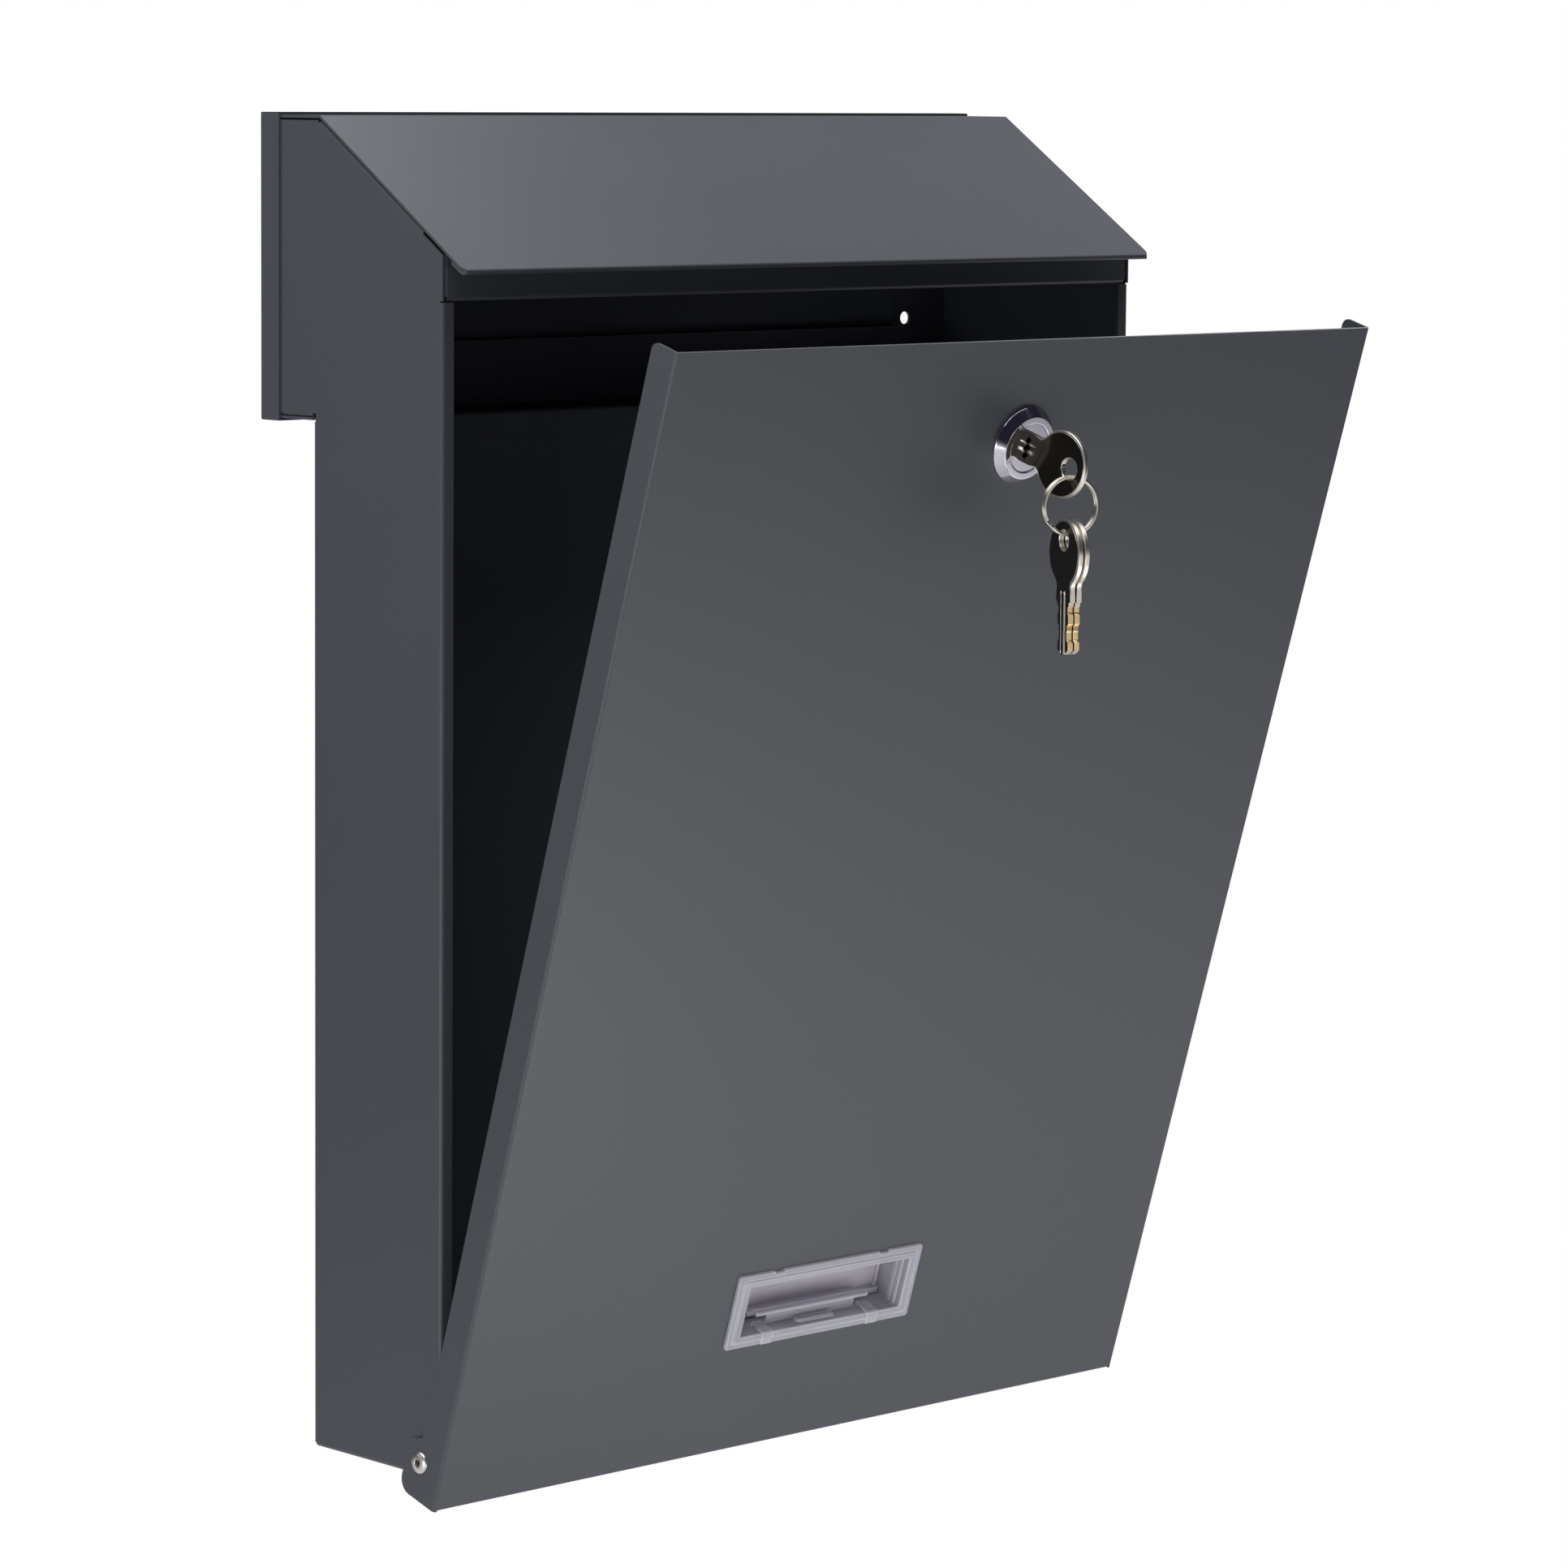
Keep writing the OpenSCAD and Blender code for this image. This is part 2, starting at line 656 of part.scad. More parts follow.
// Plug with the keyway, a square for the cam at its back and a hole for the cam's screw.
module lock_plug() {
    color(chrome) on_lock() difference() {
        union() {
            translate([0, 0, lock_head_h - lock_disc + play])
                cylinder(d = plug_d, h = plug_front - lock_head_h + lock_disc - play);
            translate([0, 0, cam_front]) cylinder(d = stem_d, h = plug_front - cam_front - 0.5);
            translate([-cam_square / 2, -cam_square / 2, cam_front - cam_t + 0.1])
                cube([cam_square, cam_square, cam_t + 1]);
        }
        translate([-key_t / 2 - 0.08, -blade_w / 2 - 0.08, plug_front - keyway])
            cube([key_t + 0.16, blade_w + 0.16, keyway + 1]);
        translate([0, 0, cam_front - cam_t]) cylinder(d = cam_screw_d, h = cam_t + screw_reach);
    }
}

module lock_nut() {
    color(zinc) on_lock() translate([0, 0, -sheet - film - nut_t]) difference() {
        rotate([0, 0, 30]) cylinder(d = nut_af / cos(30), h = nut_t, $fn = 6);
        translate([0, 0, -1]) cylinder(d = barrel_d + 2 * play, h = nut_t + 2);
    }
}

// Flat cam; across the door at rest, upright behind the lintel when the lock is turned.
module lock_cam() {
    w = cam_w / 2;
    arm = [[0, -w], [cam_l, -w], [cam_l, w], [0, w]];
    color(zinc) on_lock() translate([0, 0, cam_front - cam_t]) difference() {
        union() {
            cylinder(r = w, h = cam_t);
            linear_extrude(cam_t) polygon(rounded(arm, [0, 3, 3, 0]));
        }
        translate([0, 0, cam_t / 2]) cube([cam_square + 0.1, cam_square + 0.1, 2 * cam_t], center = true);
    }
}

module cam_washer() {
    color(zinc) on_lock() translate([0, 0, cam_front - cam_t - washer_t]) difference() {
        cylinder(d = washer_d, h = washer_t);
        translate([0, 0, -1]) cylinder(d = cam_screw_d + 0.4, h = washer_t + 2);
    }
}

module cam_screw() {
    back = cam_front - cam_t - washer_t;
    color(zinc) on_lock() union() {
        translate([0, 0, back - screw_head]) cylinder(d = 8 / cos(30), h = screw_head, $fn = 6);
        translate([0, 0, back - knit])
            cylinder(d = cam_screw_d - 2 * play, h = washer_t + cam_t + screw_reach - air);
    }
}

// ---- keys -------------------------------------------------------------------------------

bow_x = neck_l + bow_d / 2;
bow_end = neck_l + bow_d;
hole_x = bow_end - bow_rim - bow_hole / 2;
bitting = [[0.9, 1], [3.1, 0], [5.2, 1.2], [7.3, 0.5], [9.4, 1.4], [11.5, 0.6]];

// One edge of the blade, from the shoulder to the tip, with the cuts in it.
blade_edge = [for (c = bitting) each [[-c[0] - 0.5, 0], [-c[0] - 1.1, c[1]], [-c[0] - 1.5, c[1]]]];

function blade_half(s) = [[0, s * blade_w / 2],
    for (q = blade_edge) if (q[0] > -blade_l + 2.4) [q[0], s * (blade_w / 2 - q[1])],
    [-blade_l + 2, s * blade_w / 2], [-blade_l, s * 0.9]];

// A flat key, its axis along X: the blade on the minus side, the bow on the plus side.
module key() {
    blend = 3;
    w = neck_w / 2;
    blend_x = bow_x - sqrt(pow(bow_d / 2 + blend, 2) - pow(w + blend, 2));
    reach = (bow_d / 2) / (bow_d / 2 + blend);
    meet = [bow_x - (bow_x - blend_x) * reach, (w + blend) * reach];
    translate([0, 0, -key_t / 2]) difference() {
        union() {
            translate([bow_x, 0, 0]) cylinder(d = bow_d, h = key_t);
            linear_extrude(key_t) polygon(concat([[0.5, 0]], blade_half(1), reversed(blade_half(-1))));
            linear_extrude(key_t) polygon([[0, -w], [blend_x, -w], [meet[0], -meet[1]], [bow_x, 0],
                [meet[0], meet[1]], [blend_x, w], [0, w]]);
        }
        for (s = [-1, 1]) {
            translate([blend_x, s * (w + blend), -1]) cylinder(r = blend, h = key_t + 2);
            translate([hole_x, s * bow_hole_long / 2, -1]) cylinder(d = bow_hole, h = key_t + 2);
        }
        translate([hole_x - bow_hole / 2, -bow_hole_long / 2, -1]) cube([bow_hole, bow_hole_long, key_t + 2]);
    }
}

module door_key() {
    color(zinc) on_lock() translate([0, 0, plug_front]) rotate([0, -90, 0]) key();
}

// Middle of the lower round of the key's hole, in the box's frame.
function door_point(y, z) = [hinge_in + (y - door_face) * cos(open_angle) - z * sin(open_angle),
    hinge_up + (y - door_face) * sin(open_angle) + z * cos(open_angle)];
hang = door_point(-plug_front - hole_x, lock_up - bow_hole_long / 2);

// The ring hangs in the lower round of the hole, clear of its edge on both faces of the key.
ring_mid = (ring_d - ring_wire) / 2;
ring_half = (ring_wire / 2 + knit) / cos(ring_turn) + key_t / 2 * tan(ring_turn);
ring_hang = sqrt(pow(bow_hole / 2 - air - ring_wire / 2, 2) - pow(ring_half, 2)) - 0.06;
ring_low = ring_hang + 2 * ring_mid;
// Distance from the ring's wire down to the middle of a spare key's hole, and between the
// two spare keys along the wire
spare_drop = bow_hole / 2 - ring_wire / 2 - 0.75;
spare_gap = key_t + air;

module on_ring() {
    placed() translate([0, hang[0], hang[1]]) rotate([0, 0, -ring_turn]) children();
}

// Split ring of two turns of wire lying side by side.
module key_ring() {
    color(zinc) on_ring() translate([0, 0, -ring_hang - ring_mid]) rotate([90, 0, 0]) union() {
        for (s = [-0.5, 0.5]) translate([0, 0, s * (ring_wire - knit)]) rotate_extrude()
            translate([ring_mid, 0]) circle(d = ring_wire, $fn = 16);
    }
}

module spare_key(s) {
    color(zinc) on_ring() translate([s * spare_gap / 2, 0, -ring_low - spare_drop - hole_x])
        rotate([0, -90, 0]) key();
}

module spare_key_front() {
    spare_key(-1);
}

module spare_key_back() {
    spare_key(1);
}

// ---- name plate -------------------------------------------------------------------------

open_w = plate_w - 2 * rim_w;
open_h = plate_h - 2 * rim_h;
tray_w = open_w + 2 * plate_wall;
tray_h = open_h + 2 * plate_wall;
cover_t = 1;
rim_notch = 0.8;
floor_z = -open_h / 2;
finger_t = 0.6;
finger_end = plate_depth + air - step_d + 0.6;

// A block centred on x, from y back through d, and from z up through h.
module block(x, y, z, w, d, h) {
    translate([x - w / 2, y, z]) cube([w, d, h]);
}

module at_fingers() {
    for (s = [-1, 1]) translate([s * finger_x, 0, 0]) children();
}

// Outline of the rim in the door's plane, with shallow notches above and below the fingers.
module rim_outline(inset) {
    x = plate_w / 2 - inset;
    z = plate_h / 2 - inset;
    difference() {
        polygon(rounded([[-x, -z], [x, -z], [x, z], [-x, z]], [1, 1, 1, 1]));
        for (s = [-1, 1], t = [-1, 1])
            translate([s * finger_x, t * plate_h / 2]) square([finger_w, 2 * rim_notch], center = true);
    }
}

// Rim on the outside of the door in two steps, walls through its window, catches behind its
// sheet, a grip on the floor and two spring fingers that run back along the floor.
module nameplate_frame() {
    catch_w = 7;
    catch_t = 0.9;
    catch_y = sheet + film;
    catch_d = plate_depth / 2;
    color(clear) on_door() translate([0, 0, plate_up]) union() {
        difference() {
            union() {
                rotate([90, 0, 0]) linear_extrude(rim_t - 0.4) rim_outline(0);
                rotate([90, 0, 0]) linear_extrude(rim_t) rim_outline(band_w);
                block(0, -knit, -tray_h / 2, tray_w, plate_depth + knit, tray_h);
                for (s = [-1, 1]) translate([s * open_w / 4, 0, 0])
                    block(0, catch_y, -tray_h / 2 - catch_t, catch_w, catch_d, tray_h + 2 * catch_t);
            }
            block(0, -rim_t - 1, floor_z, open_w, plate_depth + rim_t + 2, open_h);
        }
        // grip: a low loop on the floor
        difference() {
            block(0, 0.6, floor_z - knit, grip_l, 3, 0.8 + knit);
            block(0, 1.3, floor_z, grip_l - 1.6, 1.6, 2);
        }
        at_fingers() {
            finger();
        }
    }
}

// Strip that runs back along the floor and rises in an S to the cover's notch.
module finger() {
    y0 = 1.5;
    rise = [for (t = [0:0.125:1]) [y0 + (finger_end - y0) * t,
        floor_z + finger_t + (finger_up - finger_t) * t * t * (3 - 2 * t)]];
    under = [for (q = reversed(rise)) [q[0], max(q[1] - finger_t, floor_z) - (q[0] == y0 ? knit : 0)]];
    translate([-finger_w / 2, 0, 0]) stand_in_yz() linear_extrude(finger_w)
        polygon(concat([[0.3 - rim_t, floor_z - knit], [0.3 - rim_t, floor_z + finger_t]], rise, under));
}

// Cover at the back of the frame: a pane with low rims, and a step along its foot that has a
// bead along its top and a notch for each finger.
module nameplate_cover() {
    y = plate_depth + air;
    low_z = floor_z + air;
    w = open_w - 0.8;
    lip_t = 1;
    lip_d = 1.2;
    lip_h = open_h - 2 * air;
    notch_d = step_d - 0.6;
    bead_l = 2 * finger_x + finger_w / 2;
    color(clear) on_door() translate([0, 0, plate_up]) difference() {
        union() {
            block(0, y, -tray_h / 2, tray_w, cover_t, tray_h);
            block(0, y - step_d, low_z, w, step_d + knit, step_h);
            both_sides() block((w - lip_t) / 2, y - lip_d, low_z, lip_t, lip_d + knit, lip_h);
            block(0, y - lip_d, low_z + lip_h - lip_t, w, lip_d + knit, lip_t);
            translate([-bead_l / 2, y - step_d, low_z + step_h - bead_d / 2]) rotate([0, 90, 0])
                cylinder(d = bead_d, h = bead_l);
        }
        at_fingers() block(0, y - step_d - 1, low_z - 1, finger_w + 2 * air, 1 + notch_d, finger_up + 1 + air);
    }
}

left_side_panel();
right_side_panel();
back_panel();
bottom_panel();
throat_floor();
roof_panel();
lintel();
inlet_frame();
inlet_flap();
flap_rod();
flap_brackets();
door_panel();
hinge_rivets();
lock_housing();
lock_plug();
lock_nut();
lock_cam();
cam_washer();
cam_screw();
door_key();
key_ring();
spare_key_front();
spare_key_back();
nameplate_frame();
nameplate_cover();
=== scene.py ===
"""A sheet-steel letterbox with its door ajar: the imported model's panels in powder coat, with the
lock, keys, ring, rivets and clear name plate built as finished pieces."""
import json
import math

import bmesh
import bpy
import numpy as np
from mathutils import Matrix, Vector


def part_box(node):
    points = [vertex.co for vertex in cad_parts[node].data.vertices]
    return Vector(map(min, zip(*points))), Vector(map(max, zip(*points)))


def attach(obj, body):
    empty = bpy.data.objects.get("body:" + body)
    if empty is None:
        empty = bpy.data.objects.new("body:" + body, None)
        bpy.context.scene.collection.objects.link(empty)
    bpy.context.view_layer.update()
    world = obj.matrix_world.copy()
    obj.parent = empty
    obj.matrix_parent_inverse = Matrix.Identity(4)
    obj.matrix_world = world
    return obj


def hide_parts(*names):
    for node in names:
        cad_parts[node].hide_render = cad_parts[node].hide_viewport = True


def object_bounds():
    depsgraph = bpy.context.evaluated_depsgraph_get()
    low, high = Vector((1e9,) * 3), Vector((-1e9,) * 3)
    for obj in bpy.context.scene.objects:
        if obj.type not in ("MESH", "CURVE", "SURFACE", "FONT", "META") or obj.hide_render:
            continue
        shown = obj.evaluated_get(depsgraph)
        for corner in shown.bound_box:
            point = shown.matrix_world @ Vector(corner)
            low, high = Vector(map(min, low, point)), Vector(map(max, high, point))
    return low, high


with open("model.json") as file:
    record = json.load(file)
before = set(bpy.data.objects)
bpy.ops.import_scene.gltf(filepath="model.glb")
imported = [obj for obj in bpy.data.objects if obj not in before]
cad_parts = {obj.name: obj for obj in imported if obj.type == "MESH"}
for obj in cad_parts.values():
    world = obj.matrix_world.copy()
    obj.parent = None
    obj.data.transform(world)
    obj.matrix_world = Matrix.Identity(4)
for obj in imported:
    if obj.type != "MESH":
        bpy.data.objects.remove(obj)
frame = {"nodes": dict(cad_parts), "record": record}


def corners(bounds):
    """The two corners of a box as plain lists."""
    return [[float(value) for value in corner] for corner in bounds]


cad_box = corners(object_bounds())

# ---- Powder-coated sheet steel ----------------------------------------------------------
# The body, roof, door and inlet are 0.8 mm steel sheet, laser cut, folded and sprayed with a
# satin anthracite polyester powder that melts to a faint orange peel. The roof lies on the
# sides with a thin gap, and the shade in that gap is painted into the sides' coat.
MM = 0.001
coat_tints, coat_gloss = ("#494c52", "#4c4f56"), (0.36, 0.42)
peel_width, grain_width, cloud_width = 1.1 * MM, 0.35 * MM, 60 * MM
# Painted shade: the sides' coat fades to a near-black tint from 0.75 mm to 0.5 mm under the roof,
# where the gap's shade falls.
gap_shade_tint, gap_shade_begins, gap_shade_full = "#101113", -0.75 * MM, -0.5 * MM
# In mm: heights over the body's foot, and depths behind its front.
mount_height, roof_underside, roof_fall = 355.4, 399.2, 37.4
total_depth, ridge_depth = 84, 56.4


def linear(hex_colour):
    """An sRGB hex colour as linear RGBA."""
    srgb = np.array([int(hex_colour[i:i + 2], 16) for i in (1, 3, 5)]) / 255
    rgb = np.where(srgb <= 0.04045, srgb / 12.92, ((srgb + 0.055) / 1.055) ** 2.4)
    return (*rgb.tolist(), 1.0)


def add(tree, kind, inputs=None, links=None, **settings):
    """Adds a node with its settings, its sockets' values and the links that reach them."""
    node = tree.nodes.new(kind)
    for name, value in settings.items():
        setattr(node, name, value)
    for name, value in (inputs or {}).items():
        node.inputs[name].default_value = value
    for name, source in (links or {}).items():
        tree.links.new(source, node.inputs[name])
    return node


def new_material(name):
    """An empty material with its node tree and its Principled shader."""
    material = bpy.data.materials.new(name)
    material.use_nodes = True
    return material, material.node_tree, material.node_tree.nodes["Principled BSDF"]


def powder_coat(name, roof_planes=None):
    """Satin polyester powder coat: orange peel 1.1 mm across, with a fine grain over it. Under the
    roof's planes, each a normal and a height along it, the gap's shade is painted into the
    colour for its first 0.6 mm."""
    material, tree, shader = new_material(name)
    shader.inputs["IOR"].default_value = 1.5
    place = add(tree, "ShaderNodeTexCoord").outputs["Object"]
    peel = add(tree, "ShaderNodeTexNoise",
               {"Scale": 1 / peel_width, "Detail": 2.0, "Roughness": 0.4}, {"Vector": place})
    grain = add(tree, "ShaderNodeTexNoise", {"Scale": 1 / grain_width, "Detail": 1.0},
                {"Vector": place})
    cloud = add(tree, "ShaderNodeTexNoise",
                {"Scale": 1 / cloud_width, "Detail": 3.0, "Roughness": 0.6}, {"Vector": place})
    tint = add(tree, "ShaderNodeMix", {"A": linear(coat_tints[0]), "B": linear(coat_tints[1])},
               {"Factor": cloud.outputs["Fac"]}, data_type="RGBA")
    if roof_planes:
        above = []
        for normal, height in roof_planes:
            along = add(tree, "ShaderNodeVectorMath", {1: normal}, {0: place},
                        operation="DOT_PRODUCT")
            above.append(add(tree, "ShaderNodeMath", {1: -height}, {0: along.outputs["Value"]}))
        nearest = add(tree, "ShaderNodeMath", {},
                      {0: above[0].outputs[0], 1: above[1].outputs[0]}, operation="MAXIMUM")
        # Painted shade: the gap under the roof is shaded by colour, not by geometry.
        gap = add(tree, "ShaderNodeMapRange", {"From Min": gap_shade_begins, "From Max": gap_shade_full},
                  {"Value": nearest.outputs[0]})
        tint = add(tree, "ShaderNodeMix", {"B": linear(gap_shade_tint)},
                   {"Factor": gap.outputs["Result"], "A": tint.outputs["Result"]},
                   data_type="RGBA")
    tree.links.new(tint.outputs["Result"], shader.inputs["Base Color"])
    gloss = add(tree, "ShaderNodeMapRange", {"To Min": coat_gloss[0], "To Max": coat_gloss[1]},
                {"Value": cloud.outputs["Fac"]})
    tree.links.new(gloss.outputs["Result"], shader.inputs["Roughness"])
    low = add(tree, "ShaderNodeBump", {"Strength": 0.25, "Distance": 0.03 * MM},
              {"Height": peel.outputs["Fac"]})
    fine = add(tree, "ShaderNodeBump", {"Strength": 0.3, "Distance": 0.012 * MM},
               {"Height": grain.outputs["Fac"], "Normal": low.outputs["Normal"]})
    tree.links.new(fine.outputs["Normal"], shader.inputs["Normal"])
    return material


def coat(node_names, material):
    """Gives CAD nodes one material and breaks the razor edges of their sheet."""
    for name in node_names:
        piece = frame["nodes"][name]
        piece.data.materials.clear()
        piece.data.materials.append(material)
        weld = piece.modifiers.new("join corners", "WELD")
        weld.merge_threshold = 0.002 * MM
        flat = piece.modifiers.new("join flats", "DECIMATE")
        flat.decimate_type = "DISSOLVE"
        flat.angle_limit = math.radians(0.5)
        soft = piece.modifiers.new("break edges", "BEVEL")
        soft.width = 0.16 * MM
        soft.segments = 2
        soft.limit_method = "ANGLE"
        soft.angle_limit = math.radians(50)
        soft.harden_normals = False


coat(["back_panel", "bottom_panel", "throat_floor", "roof_panel", "lintel", "inlet_frame",
      "inlet_flap", "door_panel"], powder_coat("anthracite powder coat"))
slope = math.atan2(roof_fall, ridge_depth)
slope_normal = (0, -math.sin(slope), math.cos(slope))
under_eaves = Vector((0, -total_depth, roof_underside - roof_fall - mount_height)) * MM
# The sides' coat carries the painted shade of the gap under the roof.
coat(["left_side_panel", "right_side_panel"],
     powder_coat("anthracite powder coat of the sides with painted gap shade",
                 [((0, 0, 1), (roof_underside - mount_height) * MM),
                  (slope_normal, under_eaves.dot(Vector(slope_normal)))]))

# ---- Zinc-plated hardware ---------------------------------------------------------------
# The flap's rod and angles and the lock's nut, cam, washer and screw are mild steel with a
# bright zinc plate.


def plated(name, tints, roughness, mottle):
    """Plated or bare metal with a faint mottle of its tint and gloss, mottle metres across."""
    material, tree, shader = new_material(name)
    shader.inputs["Metallic"].default_value = 1.0
    place = add(tree, "ShaderNodeTexCoord").outputs["Object"]
    cloud = add(tree, "ShaderNodeTexNoise", {"Scale": 1 / mottle, "Detail": 4.0, "Roughness": 0.6},
                {"Vector": place})
    tint = add(tree, "ShaderNodeMix", {"A": linear(tints[0]), "B": linear(tints[1])},
               {"Factor": cloud.outputs["Fac"]}, data_type="RGBA")
    tree.links.new(tint.outputs["Result"], shader.inputs["Base Color"])
    gloss = add(tree, "ShaderNodeMapRange", {"To Min": roughness[0], "To Max": roughness[1]},
                {"Value": cloud.outputs["Fac"]})
    tree.links.new(gloss.outputs["Result"], shader.inputs["Roughness"])
    return material


zinc = plated("bright zinc plate", ("#a9abad", "#c3c5c6"), (0.22, 0.38), 3 * MM)
coat(["flap_rod", "flap_brackets"], zinc)

# ---- Lock housing -----------------------------------------------------------------------
# A chrome-plated zinc casting: head 23.6 mm across and 4 mm high with a wide bevel and a flat
# ring, on an 18 mm barrel 15.4 mm long with a 1 mm thread and two flats 16.4 mm apart. Like every
# finished piece it is one or more closed surfaces, grids of points joined where edges meet.
chrome = plated("bright chrome plate", ("#d2d0da", "#dddbe4"), (0.05, 0.14), 5 * MM)
joints = {joint["name"]: joint for joint in frame["record"]["behaviour"]["joints"]}
turn_axis = joints["lock_turn"]
lock_z = Vector(turn_axis["axis"])
plate_up = lock_z.cross(Vector((1, 0, 0)))


def axes(origin, x, y, z):
    """A function that carries points from a piece's own axes, in mm, to the frame, in metres:
    the origin plus each coordinate times its unit axis."""
    basis = np.array([x, y, z], dtype=float)
    basis /= np.linalg.norm(basis, axis=1)[:, None]
    return lambda points: np.asarray(origin) + points @ basis * MM


def add_piece(name, grids, place, material, body, replaced, crease=32):
    """One object from grids of points, each a (points, rows close, columns close) triple. Edges
    that coincide are joined, each face looks outward, and bends over crease degrees stay crisp."""
    mesh = bpy.data.meshes.new(name)
    points, faces, start = [], [], 0
    for grid, closed_rows, closed_columns in grids:
        rows, columns = grid.shape[:2]
        i, j = np.meshgrid(np.arange(rows if closed_rows else rows - 1),
                           np.arange(columns if closed_columns else columns - 1), indexing="ij")
        next_i, next_j = (i + 1) % rows, (j + 1) % columns
        quads = np.stack([i * columns + j, i * columns + next_j,
                          next_i * columns + next_j, next_i * columns + j], axis=-1)
        faces.append(quads.reshape(-1, 4) + start)
        points.append(place(grid.reshape(-1, 3)))
        start += rows * columns
    mesh.from_pydata(np.concatenate(points).tolist(), [], np.concatenate(faces).tolist())
    shape = bmesh.new()
    shape.from_mesh(mesh)
    bmesh.ops.remove_doubles(shape, verts=shape.verts, dist=0.004 * MM)
    bmesh.ops.recalc_face_normals(shape, faces=shape.faces)
    shape.to_mesh(mesh)
    shape.free()
    mesh.shade_smooth()
    mesh.set_sharp_from_angle(angle=math.radians(crease))
    mesh.materials.append(material)
    piece = bpy.data.objects.new(name, mesh)
    bpy.context.collection.objects.link(piece)
    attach(piece, body)
    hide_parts(*replaced)
    return piece


def rounded_path(bends, radii, steps=5):
    """A closed path with its bends rounded: each becomes an arc tangent to both of its sides, a
    circle of its radius swept from one tangent point to the other."""
    bends = np.asarray(bends, dtype=float)
    path = []
    for before, corner, after, radius in zip(np.roll(bends, 1, 0), bends, np.roll(bends, -1, 0),
                                             radii):
        if radius == 0:
            path.append(corner[None, :])
            continue
        a = (before - corner) / np.linalg.norm(before - corner)
        b = (after - corner) / np.linalg.norm(after - corner)
        half = math.acos(float(np.clip(a @ b, -1, 1))) / 2
        middle = corner + (a + b) / np.linalg.norm(a + b) * radius / math.sin(half)
        start, end = corner + a * radius / math.tan(half), corner + b * radius / math.tan(half)
        share = np.linspace(0, 1, steps + 1)[:, None]
        chord = start * (1 - share) + end * share - middle
        path.append(middle + chord / np.linalg.norm(chord, axis=1)[:, None] * radius)
    return np.concatenate(path)


def dense(path, step, closed=True):
    """The same path with points no more than step apart, evenly along each of its sides."""
    ends = np.roll(path, -1, 0) if closed else path[1:]
    parts = [np.linspace(a, b, max(1, math.ceil(np.linalg.norm(b - a) / step)), endpoint=False)
             for a, b in zip(path, ends)]
    return np.concatenate(parts if closed else parts + [path[-1:]])


def revolve(profile, turns=120):
    """A profile of radius and height turned about Z: x is r cos t, y is r sin t, z the height."""
    t = np.linspace(0, 2 * math.pi, turns, endpoint=False)[None, :]
    r, h = profile[:, :1], profile[:, 1:]
    return np.stack([r * np.cos(t), r * np.sin(t), h + 0 * t], axis=-1)


def housing_surface():
    """The section turned about the axis. On the barrel the radius drops by a triangle wave of
    height plus turn, which is the thread, and is cut to the flats at 8.2 over the cosine of t."""
    head, ring, seat, barrel, bore = 11.8, 9.7, 7.65, 9, 6.45
    seat_floor, ring_height, rim_height, barrel_end = 1.6, 4, 1.25, -15.4
    thread_top, thread_depth, from_flat_to_axis, turns = -0.05, 0.5, 8.2, 168
    section = rounded_path([(seat, seat_floor), (seat, ring_height), (ring, ring_height),
                            (head, rim_height), (head, 0), (barrel, 0), (barrel, barrel_end),
                            (bore, barrel_end), (bore, seat_floor)],
                           [0, 0.2, 0.35, 0.3, 0.1, 0, 0.2, 0.1, 0])
    grid = revolve(dense(section, 0.16), turns)
    t = np.linspace(0, 2 * math.pi, turns, endpoint=False)[None, :]
    h = grid[:, :, 2]
    radius = np.hypot(grid[:, :, 0], grid[:, :, 1])
    wave = np.abs(((h + t / (2 * math.pi)) % 1) * 2 - 1)
    on_barrel = (radius > barrel - thread_depth) & (h < thread_top)
    runs_out = np.clip((thread_top - h) / 0.4, 0, 1) * np.clip((h - barrel_end) / 0.6, 0, 1)
    flat = from_flat_to_axis / np.maximum(np.abs(np.cos(t)), 1e-6)
    threaded = np.minimum(radius - thread_depth * wave * runs_out, flat)
    grid[:, :, :2] *= (np.where(on_barrel, threaded, radius) / radius)[:, :, None]
    return grid


lock_place = axes(turn_axis["pos_m"], (1, 0, 0), plate_up, lock_z)
add_piece("lock_housing_finished", [(housing_surface(), True, True)], lock_place, chrome, "door",
          ["lock_housing"])

# ---- Lock plug --------------------------------------------------------------------------
# A plug 15.2 mm across with a chamfered face, a warded keyway 7.8 mm long whose left side steps
# in and out, a 12.8 mm stem, and a 7.6 mm square behind it with the hole for the cam's screw.
unit_square = np.array([(1, -1), (1, 1), (-1, 1), (-1, -1)])


def radius_at(outline, t):
    """Distance from the origin to a convex outline in each direction t: the nearest of the lines
    through its sides, each at its own distance over the cosine of the angle to its normal."""
    side = np.roll(outline, -1, 0) - outline
    outline, side = outline[np.hypot(*side.T) > 1e-9], side[np.hypot(*side.T) > 1e-9]
    normal = np.stack([side[:, 1], -side[:, 0]], axis=1) / np.linalg.norm(side, axis=1)[:, None]
    reach = (outline * normal).sum(axis=1)
    turn = np.arctan2(normal[:, 1], normal[:, 0])
    cosine = np.cos(np.asarray(t)[..., None] - turn)
    return np.where(cosine > 1e-6, reach / np.maximum(cosine, 1e-6), np.inf).min(axis=-1)


